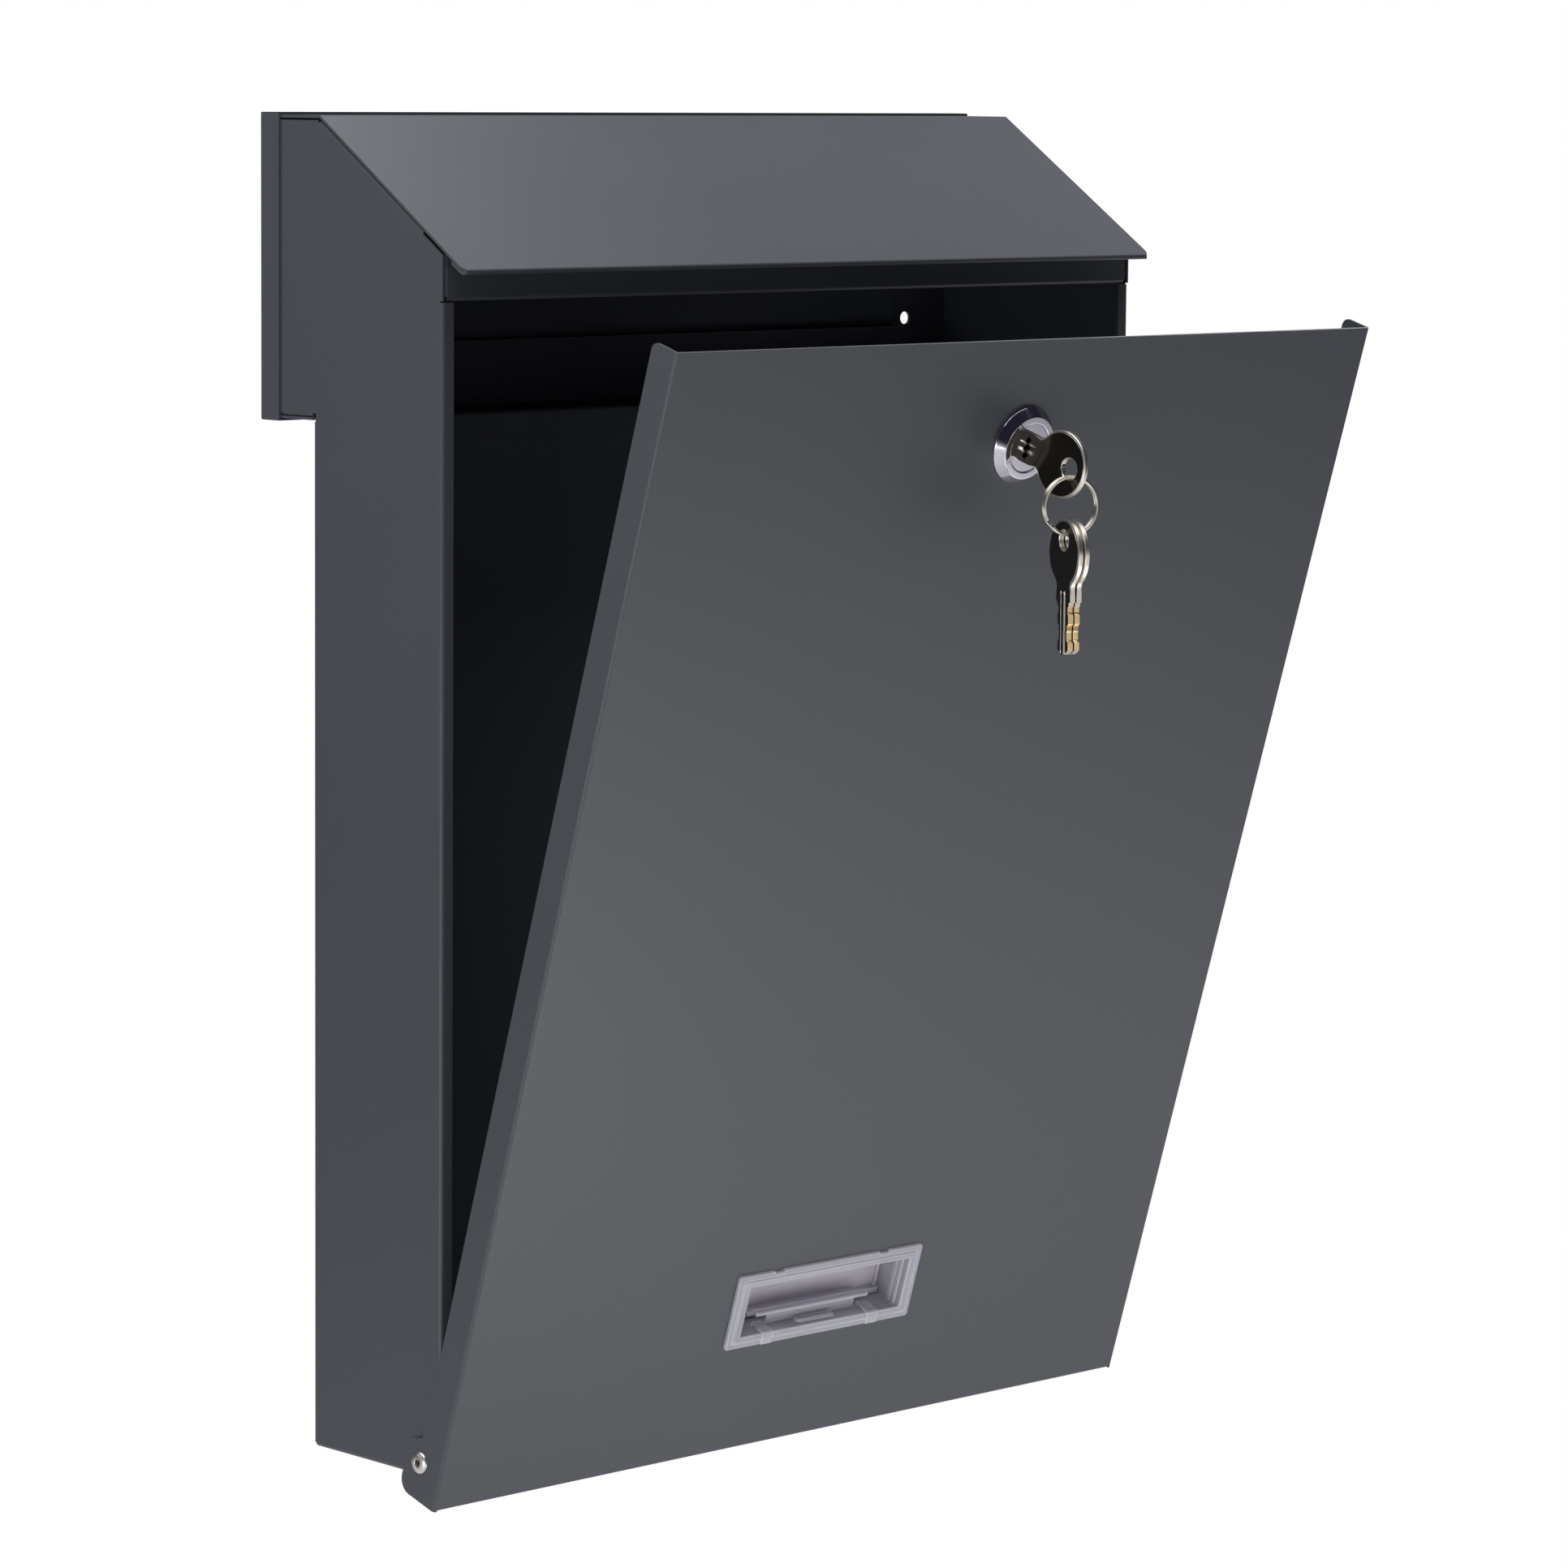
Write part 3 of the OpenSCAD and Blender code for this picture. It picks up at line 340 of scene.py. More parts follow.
def plug_surface():
    """Rings from the bottom of the keyway out over the face, down the stem, round the square and
    into the screw's hole. Point i of each ring is i 240ths of the way round its outline."""
    count = 240
    head, stem, screw, half_square = 7.6, 6.4, 2.5, 3.8
    face, chamfer, head_back, stem_back, square_back = 3.7, 0.25, 1.65, -15.5, -17.4
    keyway_floor, screw_floor = -13.0, -13.6
    wards = [(-0.98, -3.88), (0.98, -3.88), (0.98, 3.88), (-0.98, 3.88), (-1.1, 3.2), (-1.9, 2.5),
             (-2.1, 2.0), (-1.35, 1.3), (-1.35, 0.9), (-2.4, 0.2), (-2.4, -0.4), (-1.5, -1.0),
             (-1.5, -1.4), (-2.1, -2.0), (-2.1, -2.5), (-1.2, -3.2)]
    keyway = dense(np.array(wards), 0.02)
    rightmost = np.argmin(np.abs(keyway[:, 1]) + 9 * (keyway[:, 0] < 0))
    keyway = np.roll(keyway, -rightmost, 0)
    steps = np.linalg.norm(np.diff(keyway, axis=0, append=keyway[:1]), axis=1)
    length = np.concatenate([[0], np.cumsum(steps)])
    keyway = np.concatenate([keyway, keyway[:1]])
    share = np.arange(count) / count * length[-1]
    keyway = np.stack([np.interp(share, length, keyway[:, axis]) for axis in (0, 1)], axis=1)
    t = np.arange(count) / count * 2 * math.pi
    ring = np.stack([np.cos(t), np.sin(t)], axis=1)
    square = ring * radius_at(unit_square * half_square, t)[:, None]
    rings = [(keyway * 0, keyway_floor), (keyway, keyway_floor), (keyway, 3.58),
             (keyway * 1.02, face), (ring * (head - chamfer), face),
             (ring * head, face - chamfer), (ring * head, head_back), (ring * stem, head_back),
             (ring * stem, stem_back), (square, stem_back), (square, square_back),
             (ring * screw, square_back), (ring * screw, screw_floor), (ring * 0, screw_floor)]
    return np.stack([np.column_stack([outline, np.full(count, h)]) for outline, h in rings])


add_piece("lock_plug_finished", [(plug_surface(), False, True)], lock_place, chrome, "plug",
          ["lock_plug"], crease=25)

# ---- Lock nut, cam, washer and screw ----------------------------------------------------
# Zinc-plated steel behind the door: a 24 mm hexagon nut 3.5 mm thick, a stamped cam 33 mm long,
# 14 mm wide and 2 mm thick, a 12 mm washer and an 8 mm hexagon screw, all with broken edges.


def hexagon_surface(across, bore, low, high):
    """A hexagon from low to high with chamfered corners: at each height the radius is the smaller
    of the hexagon's and a cone's, and its first and last rings lie on the bore."""
    count, chamfer, cone_slope = 144, 0.9, 1.9
    t = np.linspace(0, 2 * math.pi, count, endpoint=False)[None, :]
    to_flat = (t - math.pi / 2 + math.pi / 6) % (math.pi / 3) - math.pi / 6
    flat = across / 2 / np.cos(to_flat)
    h = np.concatenate([np.linspace(low, low + chamfer, 8),
                        np.linspace(high - chamfer, high, 8)])[:, None]
    cone = across / 2 + cone_slope * np.minimum(h - low, high - h)
    hole = np.full((1, count), bore)
    radius = np.concatenate([hole, np.minimum(flat, cone), hole])
    height = np.concatenate([[[low]], h, [[high]]])
    return np.stack([radius * np.cos(t), radius * np.sin(t), height + 0 * t], axis=-1)


def cam_surface():
    """Loops round the cam from the square hole's lower edge out over the bottom, round the edge
    and back over the top: each loop is the outline's radius in that direction less an inset."""
    count, half_width, reach, corner, half_hole = 360, 7, 33, 3, 3.85
    low, high = -17.5, -15.5
    t = np.linspace(0, 2 * math.pi, count, endpoint=False)
    arc = np.linspace(math.pi / 2, 3 * math.pi / 2, 31)
    tip = [(reach - corner, -half_width), (reach, -half_width), (reach, half_width),
           (reach - corner, half_width)]
    arm = np.concatenate([np.stack([half_width * np.cos(arc), half_width * np.sin(arc)], axis=1),
                          rounded_path(tip, [0, corner, corner, 0])])
    outer, hole = radius_at(arm, t), radius_at(unit_square * half_hole, t)
    loops = [(hole, low + 0.1), (hole + 0.1, low), (outer - 0.25, low),
             (outer - 0.07, low + 0.07), (outer, low + 0.25), (outer, high - 0.35),
             (outer - 0.1, high - 0.1), (outer - 0.35, high), (hole + 0.1, high),
             (hole, high - 0.1)]
    return np.stack([np.stack([r * np.cos(t), r * np.sin(t), np.full(count, h)], axis=1)
                     for r, h in loops])


nut = hexagon_surface(24, 9.05, -4.33, -0.83)
washer = revolve(rounded_path([(2.7, -18.5), (6, -18.5), (6, -17.5), (2.7, -17.5)],
                              [0.1, 0.3, 0.1, 0.1]))
screw_head = hexagon_surface(8, 2.45, -21.9, -18.5)
shaft = revolve(np.array([(2.45, -18.45), (2.45, -13.95), (2.2, -13.7), (0, -13.7)]), 144)
dish = revolve(np.array([(2.45, -21.9), (2.2, -21.6), (0, -21.5)]), 144)
for node, body, crease, grids in (
        ("lock_nut", "door", 25, [(nut, True, True)]),
        ("lock_cam", "plug", 32, [(cam_surface(), True, True)]),
        ("cam_washer", "plug", 32, [(washer, True, True)]),
        ("cam_screw", "plug", 25, [(grid, False, True) for grid in (screw_head, shaft, dish)])):
    add_piece(node + "_finished", grids, lock_place, zinc, body, [node], crease)

# ---- Keys -------------------------------------------------------------------------------
# Three flat keys, 1.8 mm thick and 39.7 mm long: a 20 mm round bow with a 6.2 mm hole and a
# bevelled edge, a 9.4 mm neck, and a blade 7.6 mm wide with two grooves and shallow brass cuts.
# Lengths run from the shoulder, at 0, to the tip on one side and over the bow on the other.
key_tip, bow_middle, bow_radius, neck_half = -15.5, 14.2, 10, 4.7
hole_middle, hole_radius, half_thick = 18.0, 3.1, 0.9


def key_edge(x, inset=0.0):
    """Half the key's width at x, less inset, from the shoulder at 0: a circle for the bow, an arc
    of 3 mm into the neck, and a blade whose edge drops in wide shallow cuts and narrows at the
    tip."""
    blade = np.array([(key_tip, 1.2), (-14.3, 3.2), (-14.1, 3.5), (-11.9, 3.5), (-11.2, 2.6),
                      (-8.8, 2.6), (-8.5, 2.8), (-7.1, 2.7), (-6.4, 3.6), (-3.7, 3.6),
                      (-3.2, 3.1), (-1.5, 3.1), (-1.2, 3.8), (-0.12, 3.8), (0.0, neck_half)])
    arc = 3
    to_bow, to_axis = bow_radius + arc, neck_half + arc
    arc_x = bow_middle - math.sqrt(to_bow ** 2 - to_axis ** 2)
    meet = bow_middle - (bow_middle - arc_x) * (bow_radius - inset) / to_bow
    bow = np.sqrt(np.maximum((bow_radius - inset) ** 2 - (x - bow_middle) ** 2, 0))
    fillet = to_axis - np.sqrt(np.maximum((arc + inset) ** 2 - (x - arc_x) ** 2, 0))
    shank = np.where(x < arc_x, neck_half - inset, fillet)
    above = np.where(x < meet, shank, bow)
    return np.where(x < 0, np.interp(x, blade[:, 0], blade[:, 1]) - inset, above)


def key_grids():
    """Two halves, above and below the key's axis. Along each the face runs from the hole's edge
    out through curves parallel to key_edge, and its height is a bevel of the distance to it, with
    a fine step 0.7 mm in, less the grooves."""
    insets = np.array([0, 0.05, 0.15, 0.3, 0.45, 0.6, 0.66, 0.72, 0.8, 1.0, 1.5])
    drops = [0.36, 0.29, 0.22, 0.16, 0.13, 0.11, 0.09, 0.0]
    x = np.concatenate([key_tip + 1.2 * np.linspace(0, 1, 12) ** 2, np.arange(-14.3, 6.2, 0.2),
                        [-0.12, 0.0, -14.1],
                        bow_middle + bow_radius * np.cos(np.linspace(math.pi * 0.8, 0, 80)),
                        hole_middle - hole_radius * np.cos(np.pi * np.linspace(0, 1, 33))])
    x = np.unique(np.round(x, 4))
    x = x[(x >= key_tip) & (x <= bow_middle + bow_radius)]
    inside = np.abs(x - hole_middle) < hole_radius - 1e-4
    inner = np.where(inside, np.sqrt(np.maximum(hole_radius ** 2 - (x - hole_middle) ** 2, 0)), 0)
    # The blade's bevel is a third of the bow's.
    scale = 0.35 + 0.65 * np.clip((x - 2) / 3, 0, 1)
    edge = key_edge(x)
    outer = [np.maximum(edge - (edge - np.minimum(key_edge(x, inset), edge)) * scale, inner)
             for inset in insets]
    outer = np.stack(outer, axis=1)
    # The core is the line between the columns round the hole and the columns along the edge.
    on_bow = np.clip((x - 3.4) / 2, 0, 1)
    core = np.minimum(1.9 + (inner + 0.5 * (outer[:, -1] - inner) - 1.9) * on_bow,
                      0.9 * inner + 0.1 + 0.8 * outer[:, -1])
    core = np.minimum(core, outer[:, -1])[:, None]
    first, second = np.linspace(0, 1, 24)[None, :-1], np.linspace(0, 1, 6)[None, :-1]
    y = np.concatenate([inner[:, None] + (core - inner[:, None]) * first,
                        core + (outer[:, -1:] - core) * second, outer[:, ::-1]], axis=1)
    x = x[:, None]
    to_edge = np.concatenate([np.full(28, 2.0), insets[::-1]])[None, :] + 0 * y
    from_bow = bow_radius - np.hypot(x - bow_middle, y)
    at_end = (x > bow_middle) & (y < 1e-3 + inner[:, None])
    to_edge = np.where(at_end, np.minimum(to_edge, from_bow), to_edge)
    bevel = np.interp(to_edge, insets[:8], drops) * scale[:, None]
    from_hole = np.hypot(x - hole_middle, y) - hole_radius
    bevel = np.maximum(bevel, 0.3 * (1 - np.clip(from_hole / 0.4, 0, 1)) ** 2)
    along = np.clip((3.4 - x) / 1.2, 0, 1)
    grids = []
    for side in (1, -1):
        faces = []
        for face in (1, -1):
            deep = np.clip((0.65 - np.abs(side * y * face + 1.0)) / 0.2, 0, 1) * 0.42
            thin = np.clip((0.3 - np.abs(side * y * face - 1.3)) / 0.1, 0, 1) * 0.3
            height = face * (half_thick - np.maximum(bevel, along * np.maximum(deep, thin)))
            faces.append(np.stack([np.broadcast_to(x, y.shape), side * y, height], axis=-1))
        top, bottom = faces
        grids.append((np.concatenate([top, bottom[:, ::-1]], axis=1), False, False))
        grids.append((np.stack([top[inside][:, 0], bottom[inside][:, 0]], axis=1), False, False))
        grids.append((np.stack([top[0], bottom[0]]), False, False))
    return grids


def key_metal(name, origin, along, across, through):
    """Nickel over brass: the flat faces are polished, and the dim reflection they show is painted
    into their colour; the tumbled edges are bright, and the cuts, milled after plating, show brass
    from 1.1 to 14.2 mm below the shoulder."""
    material = plated(name, ("#d9d3c9", "#e6e0d6"), (0.30, 0.42), 1.5 * MM)
    tree = material.node_tree
    shader = tree.nodes["Principled BSDF"]
    place = add(tree, "ShaderNodeTexCoord").outputs["Object"]
    local = add(tree, "ShaderNodeVectorMath", {1: tuple(origin)}, {0: place},
                operation="SUBTRACT").outputs["Vector"]

    def both(one, other):
        """1 where both are 1."""
        return add(tree, "ShaderNodeMath", {}, {0: one, 1: other}, operation="MULTIPLY").outputs[0]

    def between(axis, low, high, mirrored=True):
        """1 where the distance along axis, in mm, lies from low to high, on both sides if
        mirrored."""
        part = add(tree, "ShaderNodeVectorMath", {1: tuple(Vector(axis).normalized())}, {0: local},
                   operation="DOT_PRODUCT").outputs["Value"]
        if mirrored:
            part = add(tree, "ShaderNodeMath", {}, {0: part}, operation="ABSOLUTE").outputs[0]
        over = add(tree, "ShaderNodeMath", {1: low * MM}, {0: part}, operation="GREATER_THAN")
        under = add(tree, "ShaderNodeMath", {1: high * MM}, {0: part}, operation="LESS_THAN")
        return both(over.outputs[0], under.outputs[0])

    in_cuts = both(both(between(along, -14.2, -1.1, mirrored=False), between(across, 2.2, 4.2)),
                   between(through, -0.1, 0.87))
    on_face = between(through, 0.84, 1.0)
    scuff = add(tree, "ShaderNodeTexNoise", {"Scale": 1 / (3 * MM), "Detail": 4.0},
                {"Vector": place}).outputs["Fac"]
    # Painted reflection: the flat faces get a near-black colour that stands in for the dim
    # surroundings their polish reflects.
    painted_face_reflection = add(tree, "ShaderNodeMix", {"A": linear("#48443f"), "B": linear("#57524b")},
               {"Factor": scuff}, data_type="RGBA")
    brass = add(tree, "ShaderNodeMix", {"A": linear("#f4dfb8"), "B": linear("#dcb679")},
                {"Factor": scuff}, data_type="RGBA")
    plating = shader.inputs["Base Color"].links[0].from_socket
    metal = add(tree, "ShaderNodeMix", {},
                {"Factor": in_cuts, "A": plating, "B": brass.outputs["Result"]}, data_type="RGBA")
    metal = add(tree, "ShaderNodeMix", {},
                {"Factor": on_face, "A": metal.outputs["Result"], "B": painted_face_reflection.outputs["Result"]},
                data_type="RGBA")
    tree.links.new(metal.outputs["Result"], shader.inputs["Base Color"])
    tumbled = shader.inputs["Roughness"].links[0].from_socket
    polish = add(tree, "ShaderNodeMapRange", {"To Min": 0.10, "To Max": 0.22}, {"Value": scuff})
    gloss = add(tree, "ShaderNodeMix", {},
                {"Factor": on_face, "A": tumbled, "B": polish.outputs["Result"]})
    tree.links.new(gloss.outputs["Result"], shader.inputs["Roughness"])
    return material


ring_axis = Vector(joints["front_spare_swing"]["axis"])
down = Vector((0, 0, -1))
ring_out = down.cross(ring_axis)
door_shoulder = Vector(turn_axis["pos_m"]) + 3.7 * MM * lock_z
key_frames = [("door_key", "key", door_shoulder, lock_z, plate_up, Vector((-1, 0, 0)))]
for node, body in (("spare_key_front", "front_spare"), ("spare_key_back", "back_spare")):
    low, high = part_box(node)
    shoulder = Vector(((low[0] + high[0]) / 2, (low[1] + high[1]) / 2, low[2] + 16.4 * MM))
    key_frames.append((node, body, shoulder, -down, -ring_out, -ring_axis))
for node, body, shoulder, along, across, through in key_frames:
    add_piece(node + "_finished", key_grids(), axes(shoulder, along, across, through),
              key_metal(node.replace("_", " ") + " nickel over brass", shoulder, along, across,
                        through), body, [node])

# ---- Split ring -------------------------------------------------------------------------
# Two turns of 1.1 mm spring wire, 18 mm across, side by side, crossing over where both ends stop
# at the lower left; nickel plated.
nickel = plated("polished nickel plate", ("#dcd5cb", "#e8e2d8"), (0.24, 0.34), 2 * MM)


def ring_surface():
    """Wire swept along a circle twice: the wire's middle moves one wire width sideways in a smooth
    step half-way along, and its section is a circle flattened to a rounded square."""
    middle_radius, half_wire, apart, squareness = 8.45, 0.545, 1.04, 2.6
    half_gap, first_end = 0.16, 3.8
    turn = np.linspace(half_gap, 4 * math.pi - half_gap, 420)[:, None]
    t = np.linspace(0, 2 * math.pi, 24, endpoint=False)[None, :]
    step = np.clip((turn - (2 * math.pi - half_gap)) / (2 * half_gap), 0, 1)
    side = (step * step * (3 - 2 * step) - 0.5) * apart
    to_end = np.minimum(turn - half_gap, 4 * math.pi - half_gap - turn)
    thick = half_wire * np.sqrt(1 - (1 - np.clip(to_end / 0.03, 0, 1)) ** 2 * 0.2)
    square = (np.abs(np.cos(t)) ** squareness
              + np.abs(np.sin(t)) ** squareness) ** (-1 / squareness)
    out = middle_radius + thick * square * np.cos(t)
    angle = turn + first_end
    grid = np.stack([out * np.cos(angle), out * np.sin(angle),
                     side + thick * square * np.sin(t)], axis=-1)
    centre = grid.mean(axis=1, keepdims=True)
    return np.concatenate([centre[:1] + 0 * grid[:1], grid, centre[-1:] + 0 * grid[-1:]])


low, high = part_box("key_ring")
ring_middle = [(a + b) / 2 for a, b in zip(low, high)]
add_piece("key_ring_finished", [(ring_surface(), False, True)],
          axes(ring_middle, ring_axis, -down, ring_out), nickel, "ring", ["key_ring"])

# ---- Hinge rivets -----------------------------------------------------------------------
# Two 3.2 mm aluminium blind rivets: a low domed 6.8 mm head 1.2 mm high, the steel mandrel broken
# off deep inside its hole and gone brown, and the tail set against the bottom panel's flange.
aluminium = plated("bare aluminium", ("#d6d3d0", "#e2dfdc"), (0.3, 0.42), 2 * MM)
brown_steel = plated("mandrel steel with a brown film", ("#4a3a2c", "#6b4a30"), (0.5, 0.7),
                     0.6 * MM)


def rivet_surface():
    """The section turned about the rivet's axis, from the mandrel's broken end, a shallow cup,
    over the head's dome and along the shank to the tail's rounded end."""
    head, shank, tail, end = 3.4, 1.6, 2.2, -5.78
    dome = rounded_path([(0, 0.1), (0.95, -0.1), (1.1, 0.0), (1.15, 1.0), (1.4, 1.15), (2.4, 1.0),
                         (3.2, 0.55), (head, 0.0), (shank, 0.0)],
                        [0, 0.1, 0.05, 0.1, 0.12, 1.5, 0.5, 0.08, 0])
    foot = np.array([(shank, end + 3), (tail, end + 3), (tail, end + 1.5), (shank, end),
                     (0, end)])
    return revolve(np.concatenate([dense(dome, 0.15, closed=False), foot]), 96)


low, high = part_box("hinge_rivets")
door_low, door_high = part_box("door_panel")
hinge_y, hinge_z = (low[1] + high[1]) / 2, (low[2] + high[2]) / 2
seat_gap = 0.05
rivet_grids = []
for side, face in ((1, door_high[0]), (-1, door_low[0])):
    grid = rivet_surface()
    rivet = np.stack([face / MM + side * (grid[:, :, 2] + seat_gap), hinge_y / MM + grid[:, :, 0],
                      hinge_z / MM + grid[:, :, 1]], axis=-1)
    rivet_grids.append((rivet, False, True))
rivets = add_piece("hinge_rivets_finished", rivet_grids,
                   axes((0, 0, 0), (1, 0, 0), (0, 1, 0), (0, 0, 1)), aluminium, "box",
                   ["hinge_rivets"])
rivets.data.materials.append(brown_steel)
middles = np.zeros(len(rivets.data.polygons) * 3)
rivets.data.polygons.foreach_get("center", middles)
middles = middles.reshape(-1, 3)
from_axis = np.hypot(middles[:, 1] - hinge_y, middles[:, 2] - hinge_z)
in_hole = (from_axis < 1.05 * MM) & (np.abs(middles[:, 0]) > door_high[0] - 1 * MM)
rivets.data.polygons.foreach_set("material_index", in_hole.astype(np.int32))

# ---- Clear plastic ----------------------------------------------------------------------
# The name plate is injection moulded in clear polystyrene, a little milky, with flow marks some
# 15 mm long, and the light its edges gather is painted on them as a near-white highlight. It
# sits 280.1 mm below the lock.
plate_middle = Vector(turn_axis["pos_m"]) - 280.1 * MM * plate_up
plate_place = axes(plate_middle, (1, 0, 0), -lock_z, plate_up)
flow_length, edge_radius, edge_highlight_tint, edge_stops = 15 * MM, 0.4 * MM, "#fffcfd", 0.95


def clear_plastic(name, inside, at_rim, tints):
    """Milky clear plastic: a face stops the part at_rim of the light at the rim and inside from
    2 mm behind it, an edge, where the surface bends outward, stops 0.95 and is painted near-white
    as a highlight, and a slow cloud shifts the colour between two tints."""
    material, tree, shader = new_material(name)
    shader.inputs["IOR"].default_value = 1.58
    place = add(tree, "ShaderNodeTexCoord").outputs["Object"]
    flow = add(tree, "ShaderNodeTexNoise",
               {"Scale": 1 / flow_length, "Detail": 3.0, "Distortion": 0.8},
               {"Vector": place}).outputs["Fac"]
    tint = add(tree, "ShaderNodeMix", {"A": linear(tints[0]), "B": linear(tints[1])},
               {"Factor": flow}, data_type="RGBA")
    flat = add(tree, "ShaderNodeNewGeometry").outputs["True Normal"]
    rounded = add(tree, "ShaderNodeBevel", {"Radius": edge_radius}).outputs["Normal"]
    bent = add(tree, "ShaderNodeVectorMath", {}, {0: rounded, 1: flat}, operation="DOT_PRODUCT")
    edge = add(tree, "ShaderNodeMapRange", {"From Min": 0.985, "From Max": 0.9},
               {"Value": bent.outputs["Value"]}).outputs["Result"]
    # Painted highlight: the edges turn near-white in colour.
    bright = add(tree, "ShaderNodeMix", {"B": linear(edge_highlight_tint)},
                 {"Factor": edge, "A": tint.outputs["Result"]}, data_type="RGBA")
    tree.links.new(bright.outputs["Result"], shader.inputs["Base Color"])
    depth = add(tree, "ShaderNodeVectorMath", {1: tuple(-lock_z)}, {0: place},
                operation="DOT_PRODUCT")
    front = plate_middle.dot(-lock_z)
    share = add(tree, "ShaderNodeMapRange",
                {"From Min": front - 0.5 * MM, "From Max": front + 2 * MM,
                 "To Min": at_rim, "To Max": inside}, {"Value": depth.outputs["Value"]})
    stopped = add(tree, "ShaderNodeMapRange", {"To Max": edge_stops},
                  {"Value": edge, "To Min": share.outputs["Result"]})
    tree.links.new(stopped.outputs["Result"], shader.inputs["Alpha"])
    gloss = add(tree, "ShaderNodeMapRange", {"To Min": 0.08, "To Max": 0.22}, {"Value": flow})
    tree.links.new(gloss.outputs["Result"], shader.inputs["Roughness"])
    return material


polystyrene = clear_plastic("clear moulded polystyrene", 0.50, 0.49, ("#cdd4e0", "#dcd6df"))
milky_polystyrene = clear_plastic("milky moulded polystyrene", 0.88, 0.88,
                                  ("#cbcad4", "#d3c9d1"))

# ---- Name plate frame -------------------------------------------------------------------
# One clear moulding, 78 by 25 mm: a two-step rim 1.5 mm proud of the door with a notch over each
# finger, 1 mm walls 11 mm deep, four catches, a grip, two fingers and a step with a round ledge.
# Its y runs back from the door's face and its z up from the plate's middle.
finger_x, finger_width, catch_x, tray_floor = 22.4, 4.4, 17, -8.4


def oblong(half_width, half_height, radius):
    """A rectangle with round corners: straight sides of 160 and 48 points between quarter circles
    of 9, so that loops of every size have the same number of points and can be joined."""
    a, b, r = half_width, half_height, radius
    quarter = np.linspace(0, math.pi / 2, 9)
    long = np.linspace(-1, 1, 162)[1:-1] * (a - r)
    short = np.linspace(-1, 1, 50)[1:-1] * (b - r)
    straights = [(long[::-1], b + 0 * long), (-a + 0 * short, short[::-1]),
                 (long, -b + 0 * long), (a + 0 * short, short)]
    parts = []
    for turn, (sx, sz) in enumerate(((1, 1), (-1, 1), (-1, -1), (1, -1))):
        t = quarter + turn * math.pi / 2
        parts.append(np.stack([sx * (a - r) + r * np.cos(t), sz * (b - r) + r * np.sin(t)],
                              axis=1))
        parts.append(np.stack(straights[turn], axis=1))
    return np.concatenate(parts)


def with_margins(line, margin, closed):
    """The same line with a point added margin away from each end of every segment long enough,
    so that a bent edge stays a narrow strip of its faces."""
    line = np.asarray(line, dtype=float)
    ends = np.roll(line, -1, axis=0) if closed else np.concatenate([line[1:], line[-1:]])
    length = np.linalg.norm(ends - line, axis=1)
    share = np.where(length > 3 * margin, margin / np.maximum(length, 1e-9), 0)[:, None]
    points = np.stack([line, line + (ends - line) * share, line + (ends - line) * (1 - share)],
                      axis=1)
    keep = np.stack([length > -1, share[:, 0] > 0, share[:, 0] > 0], axis=1)
    return points[keep]


def rim_surface():
    """Loops round the frame's section: out of the back of the tray, over the inner border, down
    the step to the outer band, round the edge and back along the tray. The outer loops dip by
    0.6 mm over the fingers."""
    section = [(34.0, 8.4, 11.0), (34.0, 8.4, 4.3), (33.5, 8.4, 4.15), (33.5, 8.4, 3.35),
               (34.0, 8.4, 3.2), (34.0, 8.4, 2.1), (33.5, 8.4, 1.95), (33.5, 8.4, 1.15),
               (34.0, 8.4, 1.0), (34.0, 8.4, -1.25), (34.25, 8.65, -1.5), (36.6, 10.2, -1.5),
               (36.85, 10.45, -1.3), (36.9, 10.5, -0.95), (37.1, 10.7, -0.95),
               (37.2, 10.8, -1.1), (38.65, 12.15, -1.1), (38.95, 12.45, -0.85),
               (39.0, 12.5, -0.5), (39.0, 12.5, -0.01), (35.0, 9.4, -0.01), (35.0, 9.4, 10.8),
               (34.8, 9.2, 11.0)]
    border, notch_depth, notch_half = 36, 0.6, 2.3
    loops = []
    for half_width, half_height, y in with_margins(section, 0.2, False):
        outline = oblong(half_width, half_height, 1.0 if half_width > border else 0.35)
        x, z = outline.T
        near = np.clip((notch_half - np.abs(np.abs(x) - finger_x)) / 0.3, 0, 1)
        dip = notch_depth * near * (half_height > 12) * (np.abs(z) > 11)
        loops.append(np.stack([x, np.full(len(outline), y), z - np.sign(z) * dip], axis=1))
    return np.stack(loops)


def strip_surface(path, width, thick):
    """A strip along a path of (y, z) points: a rounded rectangle, width by thick, set square to
    the path at each point, with its ends drawn in and closed."""
    path = np.asarray(path, dtype=float)
    along = np.gradient(path, axis=0)
    along /= np.linalg.norm(along, axis=1)[:, None]
    normal = np.stack([-along[:, 1], along[:, 0]], axis=1)
    loop = rounded_path([(-width / 2, 0), (width / 2, 0), (width / 2, thick), (-width / 2, thick)],
                        [min(0.15, thick / 3)] * 4, 3)
    loop = with_margins(loop, 0.15, True)
    rows = [np.stack([loop[:, 0], p[0] + n[0] * loop[:, 1], p[1] + n[1] * loop[:, 1]], axis=1)
            for p, n in zip(path, normal)]
    close = [rows[0].mean(axis=0) + 0 * rows[0], rows[-1].mean(axis=0) + 0 * rows[-1]]
    return np.stack([close[0], *rows, close[1]])


